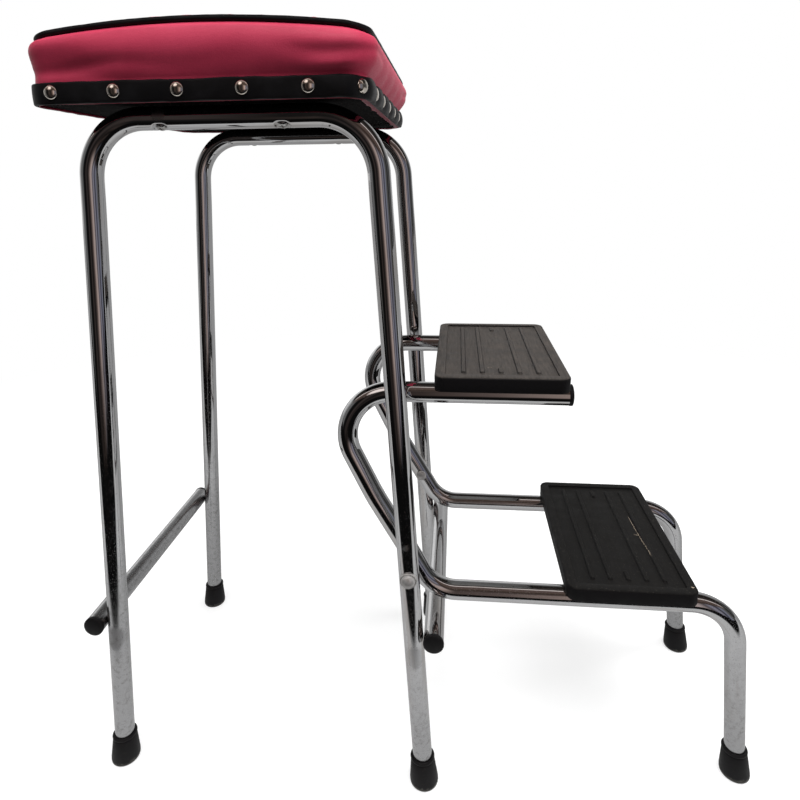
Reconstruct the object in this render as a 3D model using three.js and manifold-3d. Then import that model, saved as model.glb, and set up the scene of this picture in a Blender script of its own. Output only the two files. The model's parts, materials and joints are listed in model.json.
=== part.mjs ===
import * as THREE from 'three';
import { mergeVertices } from 'three/addons/utils/BufferGeometryUtils.js';
import Module from 'manifold-3d';

// Folding step stool chair: a padded seat on two bent side frames, and a pair of treads that swing
// out in front on their own bent tubes. Millimetres, +Z up, +X towards the treads, +Y to the left.
// Places along X are taken from the middle of the four legs, and the whole is centred at the end.

// Tube stock and fits
const tubeDiameter = 19.05;
const tubeWall = 1.2;
const seatingGap = 0.3; // between two pieces that touch
const runningGap = 0.5; // between pieces that turn against each other
const boreClearance = 0.3; // hole over shank, on the radius
const cutOverrun = 3;

// Side frames, each one tube bent to an arch with splayed legs
const frameTopHeight = 640.5;
const frameTopSpan = 239; // where the leg lines meet the top line
const frameFootSpan = 314;
const frameBendRadius = 49;
const frameInset = 35.2; // of the arches' tops inside the edge of the seat, on the tube axes
const frameSplay = 5.7; // of the feet outside the arches' tops

// Cross tubes, outside the legs front and rear
const frontCrossHeight = 167;
const rearCrossHeight = 164;
const crossTubeOverhang = 11.5; // over the end plugs, past the feet

// Folding step frame, each side one tube with four bends
const stepTubeInset = 28.2; // inside the arches' tops, on the tube axes
const upperTreadAxisHeight = 398.4;
const lowerTreadAxisHeight = 193.5;
const rearCornerReach = 58.5;
const kneeReach = 108.5;
const kneeHeight = 292.7;
const rearBendRadius = 44;
const kneeBendRadius = 200;
const lowerBendRadius = 38;
const legBendRadius = 46;
const stepLegCornerReach = 450.4;
const stepFootReach = 468.8;

// Pivots of the step frame on the front legs
const pivotHeight = 231.4;
const pivotShankDiameter = 6;
const pivotHeadDiameter = 13.2;
const pivotHeadHeight = 4.4;
const pivotInnerHeadDiameter = 11;
const pivotInnerHeadHeight = 3;
const pivotWasherDiameter = 15.5;
const pivotWasherThickness = 1.4;
const pivotSpacerDiameter = 12;

// Rubber feet
const footHeight = 31.5;
const footBaseDiameter = 28;
const footNeckDiameter = 22;
const footRimDiameter = 23;
const footRimHeight = 3.4;
const footFloorThickness = 7;
const footEdgeRounding = 2;

// Plugs in the open tube ends
const plugHeadDiameter = 19.6;
const plugHeadThickness = 2.6;
const plugDomeHeight = 1.8;
const plugStemLength = 11;

// Treads: a pressed steel pan across the two tubes and a moulded rubber mat over it
const upperTreadReach = 226; // middle of the tread
const lowerTreadReach = 351.5;
const matDepth = 120;
const matOverhang = 17.9; // past the axes of the step tubes
const matTopHeight = 20.5; // over the tube axis
const matSkirtHeight = 16.3;
const matCornerRadius = 10;
const matEdgeRounding = 1.6;
const matSkirtThickness = 4;
const matRimWidth = 9.5;
const matRimRise = 1.7;
const matRibWidth = 4.6;
const matRibEndSpace = 6; // between a rib's end and the rim
const matStubLength = 17;
const matRibCount = 5;
const panThickness = 1.2;
const panFlangeHeight = 5.4;
const panCornerRadius = 6;

// Seat base: a board with rounded corners, screwed down on the two arches
const seatDepth = 268.4; // over the band
const seatWidth = 296;
const seatSetBack = 15.8; // middle of the seat behind the middle of the legs
const seatCornerRadius = 23.5;
const boardThickness = 16;

// Seat cover of sheet vinyl over a foam block
const vinylThickness = 1;
const coverWaistHeight = 16; // over the board's underside, where the cover leaves the board
const coverBulge = 4.9;
const coverFlapWidth = 8;
const seamHeight = 46.9; // middle of the piping at the corners, over the board's underside
const seamInset = 6;
const seamRise = 10; // of the middle of the left and right edges over the corners
const pipingDiameter = 5.8;
const crownHeight = 21; // of the middle of the seat over the seam

// Vinyl band nailed round the edge of the seat
const bandHeight = 15;
const bandThickness = 2.7;
const bandDrop = 0.2; // under the board
const bandPuff = 1;
const bandLipHeight = 2;
const bandLipInset = 1;

// Dome nails in the band
const nailHeadDiameter = 11;
const nailHeadHeight = 3.4;
const nailShankDiameter = 1.8;
const nailShankLength = 13;
const nailHeight = 7.4; // over the board's underside
const frontNailTurn = Math.PI / 8; // of the first and last front nail round the corner
const sideNailLead = 19.9; // from the front corner to the first nail, the last lies at the rear corner
const rearNailMargin = 18.5;
const sideNailCount = 5;
const frontNailCount = 7;
const rearNailCount = 5;

// Screws that hold the seat board on the arches
const screwSpacing = 101.6;
const screwSetBack = 5.2; // middle of the screws behind the middle of the legs
const screwTilt = 25 * Math.PI / 180; // of the screws about the tube, heads outwards
const screwShankDiameter = 4.2;
const screwHeadDiameter = 8.6;
const screwHeadHeight = 2.6;
const screwBite = 12; // into the board
const dimpleDiameter = 15;
const dimpleFloorDiameter = 10.4;
const dimpleDepth = 1.7;

// Fineness of round shapes
const tubeSides = 16;
const boreSides = 8;
const roundSides = 12;
const smallSides = 8;
const shankSides = 6;
const bendStep = 15 * Math.PI / 180;

// Side of the cover from the band to the seam: share of that height, share of the bulge,
// and share of a quarter turn by which the surface faces up
const coverSideShares = [
  [0, 0, 0],
  [0.2, 0.42, -0.1],
  [0.48, 0.98, 0],
  [0.76, 0.86, 0.25],
  [0.95, 0.1, 0.6],
];
const grooveTurnShares = [0.5, 0.75, 1, 1.25, 1.5]; // of half a turn, from over the piping to under it
const crownShares = [0.86, 0.6, 0.3]; // of the way from the middle of the seat to its seam
const liningCrownShares = [0.94, 0.7, 0.36];
const cornerSteps = 4;
const sideSteps = 4;

// Worked out from the sizes above
const tubeRadius = tubeDiameter / 2;
const boreRadius = tubeRadius - tubeWall;
const frameTopWidth = seatWidth - 2 * frameInset;
const frameFootWidth = frameTopWidth + 2 * frameSplay;
const crossTubeLength = frameFootWidth + 2 * crossTubeOverhang;
const stepTubeWidth = frameTopWidth - 2 * stepTubeInset;
const matWidth = stepTubeWidth + 2 * matOverhang;
const upperTubeReach = upperTreadReach + matDepth / 2;
const frontLegLean = (frameFootSpan - frameTopSpan) / 2 / frameTopHeight;
const legSpread = (frameFootWidth - frameTopWidth) / 2 / frameTopHeight;
const stepLegLean = (stepFootReach - stepLegCornerReach) / lowerTreadAxisHeight;
const boardBase = frameTopHeight + tubeRadius + seatingGap;
const grooveRadius = pipingDiameter / 2 + seatingGap;
const coverInset = bandThickness + seatingGap;

const legReach = (height) => frameFootSpan / 2 - frontLegLean * height;
const legOffset = (height) => frameFootWidth / 2 - legSpread * height;
const pivotReach = legReach(pivotHeight);

const chrome = { color: 0xc9ccd0, roughness: 0.14, metalness: 1 };
const brightSteel = { color: 0xb9b6ae, roughness: 0.25, metalness: 1 };
const nickel = { color: 0xd6cfc2, roughness: 0.16, metalness: 1 };
const blackRubber = { color: 0x1d1d1e, roughness: 0.72, metalness: 0 };
const matRubber = { color: 0x35332f, roughness: 0.8, metalness: 0 };
const redVinyl = { color: 0xb01c48, roughness: 0.5, metalness: 0 };
const blackVinyl = { color: 0x151517, roughness: 0.42, metalness: 0 };
const chipboard = { color: 0x1b1a19, roughness: 0.9, metalness: 0 };
const foam = { color: 0xd9c99a, roughness: 0.95, metalness: 0 };

const wasm = await Module();
wasm.setup();

// Volume of a closed mesh, negative when its faces point inwards
function signedVolume(geometry) {
  const place = geometry.getAttribute('position');
  const index = geometry.getIndex();
  const [a, b, c] = [new THREE.Vector3(), new THREE.Vector3(), new THREE.Vector3()];
  let volume = 0;
  for (let i = 0; i < index.count; i += 3) {
    a.fromBufferAttribute(place, index.getX(i));
    b.fromBufferAttribute(place, index.getX(i + 1));
    c.fromBufferAttribute(place, index.getX(i + 2));
    volume += a.dot(b.cross(c)) / 6;
  }
  return volume;
}

// Merge shared corners and turn all faces outwards
function closed(geometry) {
  const bare = geometry.clone();
  bare.deleteAttribute('normal');
  bare.deleteAttribute('uv');
  const merged = mergeVertices(bare);
  if (signedVolume(merged) < 0) {
    const index = merged.getIndex();
    for (let i = 0; i < index.count; i += 3) {
      const first = index.getX(i);
      index.setX(i, index.getX(i + 1));
      index.setX(i + 1, first);
    }
  }
  return merged;
}

function toSolid(geometry) {
  const merged = closed(geometry);
  return new wasm.Manifold(new wasm.Mesh({
    numProp: 3,
    vertProperties: new Float32Array(merged.getAttribute('position').array),
    triVerts: new Uint32Array(merged.getIndex().array),
  }));
}

function toGeometry(solid) {
  const mesh = solid.getMesh();
  const geometry = new THREE.BufferGeometry();
  geometry.setAttribute('position', new THREE.BufferAttribute(new Float32Array(mesh.vertProperties), 3));
  geometry.setIndex(new THREE.BufferAttribute(new Uint32Array(mesh.triVerts), 1));
  return geometry;
}

function cut(geometry, cutters) {
  return toGeometry(cutters.reduce((solid, cutter) => solid.subtract(toSolid(cutter)), toSolid(geometry)));
}

// Solid of revolution about Z from a profile of [radius, height] pairs
function turned(profile, sides = roundSides) {
  const points = profile.map(([radius, height]) => new THREE.Vector2(radius, height));
  return new THREE.LatheGeometry(points, sides).rotateX(Math.PI / 2);
}

// Round bar between two points
function bar(start, end, radius, sides = tubeSides) {
  const along = end.clone().sub(start);
  const up = new THREE.Vector3(0, 1, 0);
  return new THREE.CylinderGeometry(radius, radius, along.length(), sides)
    .applyQuaternion(new THREE.Quaternion().setFromUnitVectors(up, along.clone().normalize()))
    .translate(...start.clone().add(end).divideScalar(2).toArray());
}

// Centre line of a bent tube: straight runs between corners, each corner rounded to its radius.
// The stations stand only where the tube bends, so that straight runs stay plain.
class BentLine extends THREE.Curve {
  constructor(corners, radii) {
    super();
    this.stations = [];
    this.headings = [];
    const last = corners.length - 1;
    this.add(corners[0], corners[1].clone().sub(corners[0]).normalize());
    for (let i = 1; i < last; i += 1) {
      this.addBend(corners[i - 1], corners[i], corners[i + 1], radii[i - 1]);
    }
    this.add(corners[last], corners[last].clone().sub(corners[last - 1]).normalize());
  }

  add(point, heading) {
    this.stations.push(point.clone());
    this.headings.push(heading.clone());
  }

  addBend(before, corner, after, radius) {
    const inward = corner.clone().sub(before).normalize();
    const outward = after.clone().sub(corner).normalize();
    const turn = inward.angleTo(outward);
    const start = corner.clone().addScaledVector(inward, -radius * Math.tan(turn / 2));
    const side = outward.clone().addScaledVector(inward, -outward.dot(inward)).normalize();
    const steps = Math.ceil(turn / bendStep);
    for (let k = 0; k <= steps; k += 1) {
      const angle = turn * k / steps;
      const point = start.clone().addScaledVector(inward, radius * Math.sin(angle))
        .addScaledVector(side, radius * (1 - Math.cos(angle)));
      const heading = inward.clone().multiplyScalar(Math.cos(angle)).addScaledVector(side, Math.sin(angle));
      this.add(point, heading);
    }
  }

  get runs() {
    return this.stations.length - 1;
  }

  getPointAt(u) {
    return this.stations[Math.round(u * this.runs)].clone();
  }

  getTangentAt(u) {
    return this.headings[Math.round(u * this.runs)].clone();
  }
}

// Round section carried along a bent line, closed at both ends
function sweptBar(line, radius, sides) {
  const section = new THREE.Shape();
  for (let i = 0; i < sides; i += 1) {
    const angle = 2 * Math.PI * i / sides;
    const [x, y] = [radius * Math.cos(angle), radius * Math.sin(angle)];
    if (i === 0) section.moveTo(x, y);
    else section.lineTo(x, y);
  }
  return new THREE.ExtrudeGeometry(section, { steps: line.runs, bevelEnabled: false, extrudePath: line });
}

// The bore of a tube runs past both of its ends
function boreLine(corners, radii) {
  const longer = corners.map((corner) => corner.clone());
  const last = longer.length - 1;
  const atStart = corners[0].clone().sub(corners[1]).normalize();
  const atEnd = corners[last].clone().sub(corners[last - 1]).normalize();
  longer[0].addScaledVector(atStart, cutOverrun);
  longer[last].addScaledVector(atEnd, cutOverrun);
  return new BentLine(longer, radii);
}

function bentTube(corners, radii) {
  const outside = toSolid(sweptBar(new BentLine(corners, radii), tubeRadius, tubeSides));
  const bore = toSolid(sweptBar(boreLine(corners, radii), boreRadius, boreSides));
  return { outside, wall: outside.subtract(bore) };
}

// Rounded rectangle in X and Y
function roundedRectangle(depth, width, radius) {
  const [x, y] = [depth / 2, width / 2];
  const shape = new THREE.Shape();
  shape.moveTo(x, -y + radius);
  shape.lineTo(x, y - radius);
  shape.absarc(x - radius, y - radius, radius, 0, Math.PI / 2, false);
  shape.lineTo(-x + radius, y);
  shape.absarc(-x + radius, y - radius, radius, Math.PI / 2, Math.PI, false);
  shape.lineTo(-x, -y + radius);
  shape.absarc(-x + radius, -y + radius, radius, Math.PI, 1.5 * Math.PI, false);
  shape.lineTo(x - radius, -y);
  shape.absarc(x - radius, -y + radius, radius, 1.5 * Math.PI, 2 * Math.PI, false);
  return shape;
}

function plate(shape, thickness, arcSteps = 6) {
  const curveSegments = arcSteps / 2;
  return new THREE.ExtrudeGeometry(shape, { depth: thickness, bevelEnabled: false, curveSegments });
}

// Closed surface over rows of points: between two end points, or round on itself without them
function rowSurface(rows, firstPoint, lastPoint) {
  const count = rows[0].length;
  const points = rows.flat();
  const faces = [];
  const joins = firstPoint ? rows.length - 1 : rows.length;
  for (let r = 0; r < joins; r += 1) {
    const above = ((r + 1) % rows.length) * count;
    for (let i = 0; i < count; i += 1) {
      const next = (i + 1) % count;
      faces.push(r * count + i, r * count + next, above + next, r * count + i, above + next, above + i);
    }
  }
  if (firstPoint) {
    const [first, last] = [points.length, points.length + 1];
    const top = (rows.length - 1) * count;
    points.push(firstPoint, lastPoint);
    for (let i = 0; i < count; i += 1) {
      const next = (i + 1) % count;
      faces.push(first, next, i, last, top + i, top + next);
    }
  }
  const geometry = new THREE.BufferGeometry().setFromPoints(points);
  geometry.setIndex(faces);
  return closed(geometry);
}

// The seam climbs from the corners to the middle of the left and right edges
function riseShare(u) {
  return 1 - u ** 2;
}

// Arc lengths at which each side and each corner of the seat starts, from the middle of the front edge
function outlineStarts() {
  const [x, y] = [seatDepth - 2 * seatCornerRadius, seatWidth - 2 * seatCornerRadius];
  const arc = seatCornerRadius * Math.PI / 2;
  const lengths = [y / 2, arc, x, arc, y, arc, x, arc, y / 2];
  const starts = [0];
  lengths.forEach((length) => starts.push(starts[starts.length - 1] + length));
  return starts;
}

// Corner over which the outline bends at each of those starts, and quarter turns made by then
const outlineCorners = [
  [1, 0], [1, 1], [1, 1], [-1, 1], [-1, 1], [-1, -1], [-1, -1], [1, -1], [1, -1], [1, 0],
];
const outlineQuarters = [0, 0, 1, 1, 2, 2, 3, 3, 4, 4];

// Outline of the seat over its band, by arc length towards +Y. Each place has its point and its
// outward direction: the radius of the corners, swung about a centre that runs along the sides.
function seatOutline(distance) {
  const starts = outlineStarts();
  const part = Math.min(starts.findLastIndex((start) => start <= distance), starts.length - 2);
  const share = (distance - starts[part]) / (starts[part + 1] - starts[part]);
  const [from, to] = [outlineCorners[part], outlineCorners[part + 1]];
  const quarters = outlineQuarters[part] + (outlineQuarters[part + 1] - outlineQuarters[part]) * share;
  const angle = quarters * Math.PI / 2;
  const normal = new THREE.Vector2(Math.cos(angle), Math.sin(angle));
  const centre = new THREE.Vector2(
    (from[0] + (to[0] - from[0]) * share) * (seatDepth / 2 - seatCornerRadius),
    (from[1] + (to[1] - from[1]) * share) * (seatWidth / 2 - seatCornerRadius),
  );
  return { point: centre.addScaledVector(normal, seatCornerRadius), normal };
}

// Places that divide the sides and corners of the seat evenly
function evenOutline() {
  const starts = outlineStarts();
  const distances = [];
  for (let i = 0; i + 1 < starts.length; i += 1) {
    const half = i === 0 || i + 2 === starts.length;
    const steps = i % 2 === 1 ? cornerSteps : sideSteps / (half ? 2 : 1);
    for (let k = 0; k < steps; k += 1) {
      distances.push(starts[i] + (starts[i + 1] - starts[i]) * k / steps);
    }
  }
  return distances.map(seatOutline);
}

// One row of points round the seat, set in from the outline, at a height over the board's underside
function seatRow(outline, inset, height, rise = 0) {
  return outline.map(({ point, normal }) => new THREE.Vector3(
    point.x - normal.x * inset,
    point.y - normal.y * inset,
    boardBase + height + seamRise * rise * riseShare(2 * point.x / seatDepth),
  ));
}

// Rows over the crown: the seam's row drawn towards the middle of the seat as it climbs.
// The crown is a pillow, highest in the middle and falling to nothing along every edge.
function crownRow(outline, way, drop) {
  const edge = boardBase + seamHeight + grooveRadius - drop;
  return outline.map(({ point, normal }) => {
    const [u, v] = [2 * point.x / seatDepth * way, 2 * point.y / seatWidth * way];
    const crown = (1 - u ** 2) * (1 - v ** 2);
    return new THREE.Vector3(
      (point.x - normal.x * seamInset) * way,
      (point.y - normal.y * seamInset) * way,
      edge + seamRise * riseShare(u) + crownHeight * crown,
    );
  });
}

function crownPoint(drop) {
  return new THREE.Vector3(0, 0, boardBase + seamHeight + grooveRadius + seamRise + crownHeight - drop);
}

// Side of the cover, or of what lies inside it by a depth, from the seam down to the board
function coverSideRows(outline, depth) {
  const foot = seamHeight - grooveRadius;
  const rows = coverSideShares.map(([heightShare, bulgeShare, turnShare]) => {
    const turn = turnShare * Math.PI / 2;
    const height = coverWaistHeight + (foot - coverWaistHeight) * heightShare;
    const inset = coverInset - coverBulge * bulgeShare;
    return seatRow(outline, inset + depth * Math.cos(turn), height - depth * Math.sin(turn), heightShare);
  });
  return rows.reverse();
}

// Groove in which the piping lies
function grooveRows(outline, depth) {
  return grooveTurnShares.map((turnShare) => {
    const angle = turnShare * Math.PI;
    const radius = grooveRadius + depth;
    return seatRow(outline, seamInset - radius * Math.cos(angle), seamHeight + radius * Math.sin(angle), 1);
  });
}

function seatCover(holes) {
  const outline = evenOutline();
  const [under, over] = [-seatingGap - vinylThickness, -seatingGap];
  const flapInset = coverInset + vinylThickness + coverFlapWidth;
  const outside = [
    ...crownShares.slice().reverse().map((way) => crownRow(outline, way, 0)),
    ...grooveRows(outline, 0),
    ...coverSideRows(outline, 0),
    seatRow(outline, coverInset, under),
    seatRow(outline, flapInset, under),
  ];
  const inside = [
    ...liningCrownShares.slice().reverse().map((way) => crownRow(outline, way, vinylThickness)),
    ...grooveRows(outline, vinylThickness).slice(2),
    ...coverSideRows(outline, vinylThickness),
    seatRow(outline, coverInset + vinylThickness, over),
    seatRow(outline, flapInset, over),
  ];
  const skin = rowSurface([...outside, ...inside.reverse()], crownPoint(0), crownPoint(vinylThickness));
  return cut(skin, holes);
}

function seatFoam() {
  const outline = evenOutline();
  const depth = vinylThickness + seatingGap;
  const rows = [
    ...liningCrownShares.slice().reverse().map((way) => crownRow(outline, way, depth)),
    ...grooveRows(outline, depth).slice(2),
    ...coverSideRows(outline, depth),
    seatRow(outline, coverInset + depth, boardThickness + seatingGap),
  ];
  const base = new THREE.Vector3(0, 0, boardBase + boardThickness + seatingGap);
  return rowSurface(rows.reverse(), base, crownPoint(depth));
}

function seatPiping() {
  const outline = evenOutline();
  const rows = [];
  for (let i = 0; i < smallSides; i += 1) {
    const angle = 2 * Math.PI * i / smallSides;
    const [over, up] = [Math.cos(angle) * pipingDiameter / 2, Math.sin(angle) * pipingDiameter / 2];
    rows.push(seatRow(outline, seamInset - over, seamHeight + up, 1));
  }
  return rowSurface(rows);
}

function seatBoard(holes) {
  const inset = 2 * (coverInset + vinylThickness + seatingGap);
  const shape = roundedRectangle(seatDepth - inset, seatWidth - inset, seatCornerRadius - inset / 2);
  return cut(plate(shape, boardThickness, cornerSteps).translate(0, 0, boardBase), holes);
}

function evenPlaces(start, end, count) {
  return Array.from({ length: count }, (_, k) => start + (end - start) * k / (count - 1));
}

// Arc lengths of the nails: a row along the front that starts and ends on its corners,
// and a row on each other side
function nailDistances() {
  const starts = outlineStarts();
  const round = starts[starts.length - 1];
  const frontEnd = starts[1] + seatCornerRadius * frontNailTurn;
  const side = evenPlaces(starts[2] + sideNailLead, starts[3], sideNailCount);
  const places = [
    ...evenPlaces(-frontEnd, frontEnd, frontNailCount),
    ...side,
    ...side.map((place) => -place),
    ...evenPlaces(starts[4] + rearNailMargin, starts[5] - rearNailMargin, rearNailCount),
  ];
  return places.map((place) => (place + round) % round).sort((a, b) => a - b);
}

// Places round the band: every nail, the thirds between nails, and the steps of the corners
function bandOutline() {
  const starts = outlineStarts();
  const round = starts[starts.length - 1];
  const nails = nailDistances();
  const bends = [];
  for (let i = 1; i < starts.length - 1; i += 2) {
    bends.push(...evenPlaces(starts[i], starts[i + 1], cornerSteps + 1));
  }
  const thirds = nails.flatMap((start, i) => {
    const end = i + 1 < nails.length ? nails[i + 1] : nails[0] + round;
    return [1, 2].map((k) => (start + (end - start) * k / 3) % round);
  });
  const nearBend = (place) => bends.some((bend) => Math.abs(bend - place) < nailHeadDiameter / 2);
  const drawn = nails.map((place) => ({ place, pinch: bandPuff }));
  const free = bends.filter((bend) => nails.every((nail) => Math.abs(nail - bend) > nailShankDiameter));
  const open = [...free, ...thirds.filter((place) => !nearBend(place))];
  return [...drawn, ...open.map((place) => ({ place, pinch: 0 }))]
    .sort((a, b) => a.place - b.place)
    .map(({ place, pinch }) => ({ ...seatOutline(place), pinch }));
}

// Puffed strip, drawn in at every nail
function seatBand(holes) {
  const outline = bandOutline();
  const row = (inset, height, drawn) => outline.map(({ point, normal, pinch }) => new THREE.Vector3(
    point.x - normal.x * (inset + pinch * drawn),
    point.y - normal.y * (inset + pinch * drawn),
    boardBase + height,
  ));
  const top = bandHeight - bandDrop;
  return cut(rowSurface([
    row(bandThickness, -bandDrop, 0),
    row(bandLipInset, -bandDrop, 0),
    row(0, bandLipHeight - bandDrop, 1),
    row(0, top - bandLipHeight, 1),
    row(bandLipInset, top, 0),
    row(bandThickness, top, 0),
  ]), holes);
}

// Dome nail, its head on the drawn-in band and its shank along -Z
function domeNail() {
  const radius = nailHeadDiameter / 2;
  const shank = nailShankDiameter / 2;
  return turned([
    [0, -nailShankLength],
    [shank, -nailShankLength],
    [shank, 0],
    [radius, 0],
    [radius * Math.cos(Math.PI / 4), nailHeadHeight * Math.sin(Math.PI / 4)],
    [0, nailHeadHeight],
  ], smallSides);
}

// Place and heading of each nail, seen from the middle of the seat. The rim of its head rests on
// the slope of the band, which is drawn in over a third of the way to the next nail.
function nailSeats() {
  const distances = nailDistances();
  const pitch = Math.min(...distances.slice(1).map((distance, i) => distance - distances[i]));
  const drawn = bandPuff * (1 - nailHeadDiameter / 2 / (pitch / 3));
  return distances.map((distance) => {
    const { point, normal } = seatOutline(distance);
    const seat = point.clone().addScaledVector(normal, seatingGap - drawn);
    return { seat, normal, turn: Math.atan2(normal.y, normal.x) };
  });
}

function nailHole({ seat, turn }) {
  const radius = nailShankDiameter / 2 + boreClearance;
  const length = nailShankLength + boreClearance + cutOverrun;
  return new THREE.CylinderGeometry(radius, radius, length, shankSides)
    .rotateZ(-Math.PI / 2)
    .translate(cutOverrun - length / 2, 0, 0)
    .rotateZ(turn)
    .translate(seat.x, seat.y, boardBase + nailHeight);
}

// Screw places on the two arches
function screwPlaces() {
  const places = [];
  for (const side of [1, -1]) {
    for (const end of [1, -1]) {
      places.push({ x: end * screwSpacing / 2 - screwSetBack, y: side * frameTopWidth / 2, side, end });
    }
  }
  return places;
}

// The screws lean about the tube, and their heights are measured along themselves from its axis
const screwSeatHeight = dimpleDepth - tubeRadius - seatingGap;
const screwTipHeight = (tubeRadius + seatingGap) / Math.cos(screwTilt) + screwBite;

function atScrew(geometry, { x, y, side }) {
  return geometry.rotateX(side * screwTilt).translate(x, y, frameTopHeight);
}

// Pan head screw, point up, its head under the pressed dimple
function seatScrew() {
  const head = screwHeadDiameter / 2;
  const shank = screwShankDiameter / 2;
  return turned([
    [0, screwSeatHeight - screwHeadHeight],
    [head * Math.cos(Math.PI / 4), screwSeatHeight - screwHeadHeight],
    [head, screwSeatHeight - screwHeadHeight * Math.cos(Math.PI / 3)],
    [head, screwSeatHeight],
    [shank, screwSeatHeight],
    [shank, screwTipHeight - screwShankDiameter],
    [0, screwTipHeight],
  ], roundSides / 2);
}

function screwHole(place, start, end) {
  const radius = screwShankDiameter / 2 + boreClearance;
  const hole = bar(new THREE.Vector3(0, 0, start), new THREE.Vector3(0, 0, end), radius, smallSides);
  return atScrew(hole, place);
}

// Pressed seat for a screw head: the wall pushed in round the hole
function dimple(place) {
  const pressed = (spread, under, over) => atScrew(turned([
    [0, under - tubeRadius],
    [dimpleDiameter / 2 + spread + (over - dimpleDepth), under - tubeRadius],
    [dimpleFloorDiameter / 2 + spread, over - tubeRadius],
    [0, over - tubeRadius],
  ], smallSides * 1.5), place);
  return {
    cup: pressed(tubeWall, 0, dimpleDepth + tubeWall),
    hollow: pressed(0, -cutOverrun, dimpleDepth),
  };
}

function archCorners(side) {
  const foot = footFloorThickness + seatingGap + tubeRadius * frontLegLean;
  const place = (x, z) => new THREE.Vector3(x, side * legOffset(z), z);
  return [
    place(-legReach(foot), foot),
    place(-frameTopSpan / 2, frameTopHeight),
    place(frameTopSpan / 2, frameTopHeight),
    place(legReach(foot), foot),
  ];
}

function sideFrame(side) {
  const { outside, wall } = bentTube(archCorners(side), [frameBendRadius, frameBendRadius]);
  const y = side * legOffset(pivotHeight);
  const reach = tubeDiameter + cutOverrun;
  const pivotHole = bar(
    new THREE.Vector3(pivotReach, y - reach, pivotHeight),
    new THREE.Vector3(pivotReach, y + reach, pivotHeight),
    pivotShankDiameter / 2 + boreClearance,
    boreSides,
  );
  let solid = wall;
  for (const place of screwPlaces().filter((each) => each.side === side)) {
    const { cup, hollow } = dimple(place);
    const through = screwHole(place, -tubeDiameter, tubeDiameter);
    solid = solid.add(toSolid(cup).intersect(outside)).subtract(toSolid(hollow)).subtract(toSolid(through));
  }
  return toGeometry(solid.subtract(toSolid(pivotHole)));
}

// Straight tube across the legs, lying along Y
function crossTube() {
  const half = crossTubeLength / 2 - plugHeadThickness - plugDomeHeight - seatingGap;
  const ends = [new THREE.Vector3(0, -half, 0), new THREE.Vector3(0, half, 0)];
  return toGeometry(bentTube(ends, []).wall);
}

// Domed plug for an open tube end, head up and stem down, its shoulder at the origin
function tubePlug() {
  const head = plugHeadDiameter / 2;
  const stem = boreRadius * Math.cos(Math.PI / boreSides) - seatingGap;
  return turned([
    [0, -plugStemLength],
    [stem, -plugStemLength],
    [stem, 0],
    [head, 0],
    [head, plugHeadThickness],
    [head * Math.cos(Math.PI / 5), plugHeadThickness + plugDomeHeight * Math.sin(Math.PI / 4)],
    [0, plugHeadThickness + plugDomeHeight],
  ]);
}

// Rubber foot: a tapered cup that leans with its leg and stands flat on the floor
function rubberFoot(leanX, leanY) {
  const base = footBaseDiameter / 2;
  const neck = footNeckDiameter / 2;
  const rim = footRimDiameter / 2;
  const bore = tubeRadius + seatingGap;
  const waist = footHeight - footRimHeight;
  const profile = [
    [0, 0],
    [base - footEdgeRounding, 0],
    [base, footEdgeRounding],
    [base, footFloorThickness],
    [neck, waist],
    [rim, waist],
    [rim, footHeight],
    [bore, footHeight],
    [bore, footFloorThickness],
    [0, footFloorThickness],
  ];
  const lean = new THREE.Matrix4().set(1, 0, leanX, 0, 0, 1, leanY, 0, 0, 0, 1, 0, 0, 0, 0, 1);
  return turned(profile, tubeSides).applyMatrix4(lean);
}

// Corners of the step frame's tube, from the upper front end down to the foot
function stepCorners(side) {
  const y = side * stepTubeWidth / 2;
  const foot = footFloorThickness + seatingGap + tubeRadius * stepLegLean;
  const slope = (pivotReach - kneeReach) / (kneeHeight - pivotHeight);
  const lowerCornerReach = pivotReach + (pivotHeight - lowerTreadAxisHeight) * slope;
  return [
    new THREE.Vector3(upperTubeReach, y, upperTreadAxisHeight),
    new THREE.Vector3(rearCornerReach, y, upperTreadAxisHeight),
    new THREE.Vector3(kneeReach, y, kneeHeight),
    new THREE.Vector3(lowerCornerReach, y, lowerTreadAxisHeight),
    new THREE.Vector3(stepLegCornerReach, y, lowerTreadAxisHeight),
    new THREE.Vector3(stepFootReach - stepLegLean * foot, y, foot),
  ];
}

function stepTube(side) {
  const radii = [rearBendRadius, kneeBendRadius, lowerBendRadius, legBendRadius];
  const { wall } = bentTube(stepCorners(side), radii);
  const y = side * stepTubeWidth / 2;
  const hole = bar(
    new THREE.Vector3(pivotReach, y - tubeDiameter, pivotHeight),
    new THREE.Vector3(pivotReach, y + tubeDiameter, pivotHeight),
    pivotShankDiameter / 2 + boreClearance,
    boreSides,
  );
  return toGeometry(wall.subtract(toSolid(hole)));
}

// The two step tubes as they pass under a tread, with a clearance round them
function treadNotches(clearance) {
  return [1, -1].map((side) => bar(
    new THREE.Vector3(-matDepth, side * stepTubeWidth / 2, 0),
    new THREE.Vector3(matDepth, side * stepTubeWidth / 2, 0),
    tubeRadius + clearance,
  ));
}

const panInset = matSkirtThickness + seatingGap;
const panTopHeight = tubeRadius + seatingGap + panThickness;

// Pressed steel pan: a flat top with flanges turned down, notched over the tubes
function treadPan() {
  const [depth, width] = [matDepth - 2 * panInset, matWidth - 2 * panInset];
  const height = panThickness + panFlangeHeight;
  const base = panTopHeight - height;
  const inside = plate(
    roundedRectangle(depth - 2 * panThickness, width - 2 * panThickness, panCornerRadius - panThickness),
    panFlangeHeight + cutOverrun,
  ).translate(0, 0, base - cutOverrun);
  const outside = plate(roundedRectangle(depth, width, panCornerRadius), height).translate(0, 0, base);
  return cut(outside, [inside, ...treadNotches(seatingGap / 2)]);
}

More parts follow.
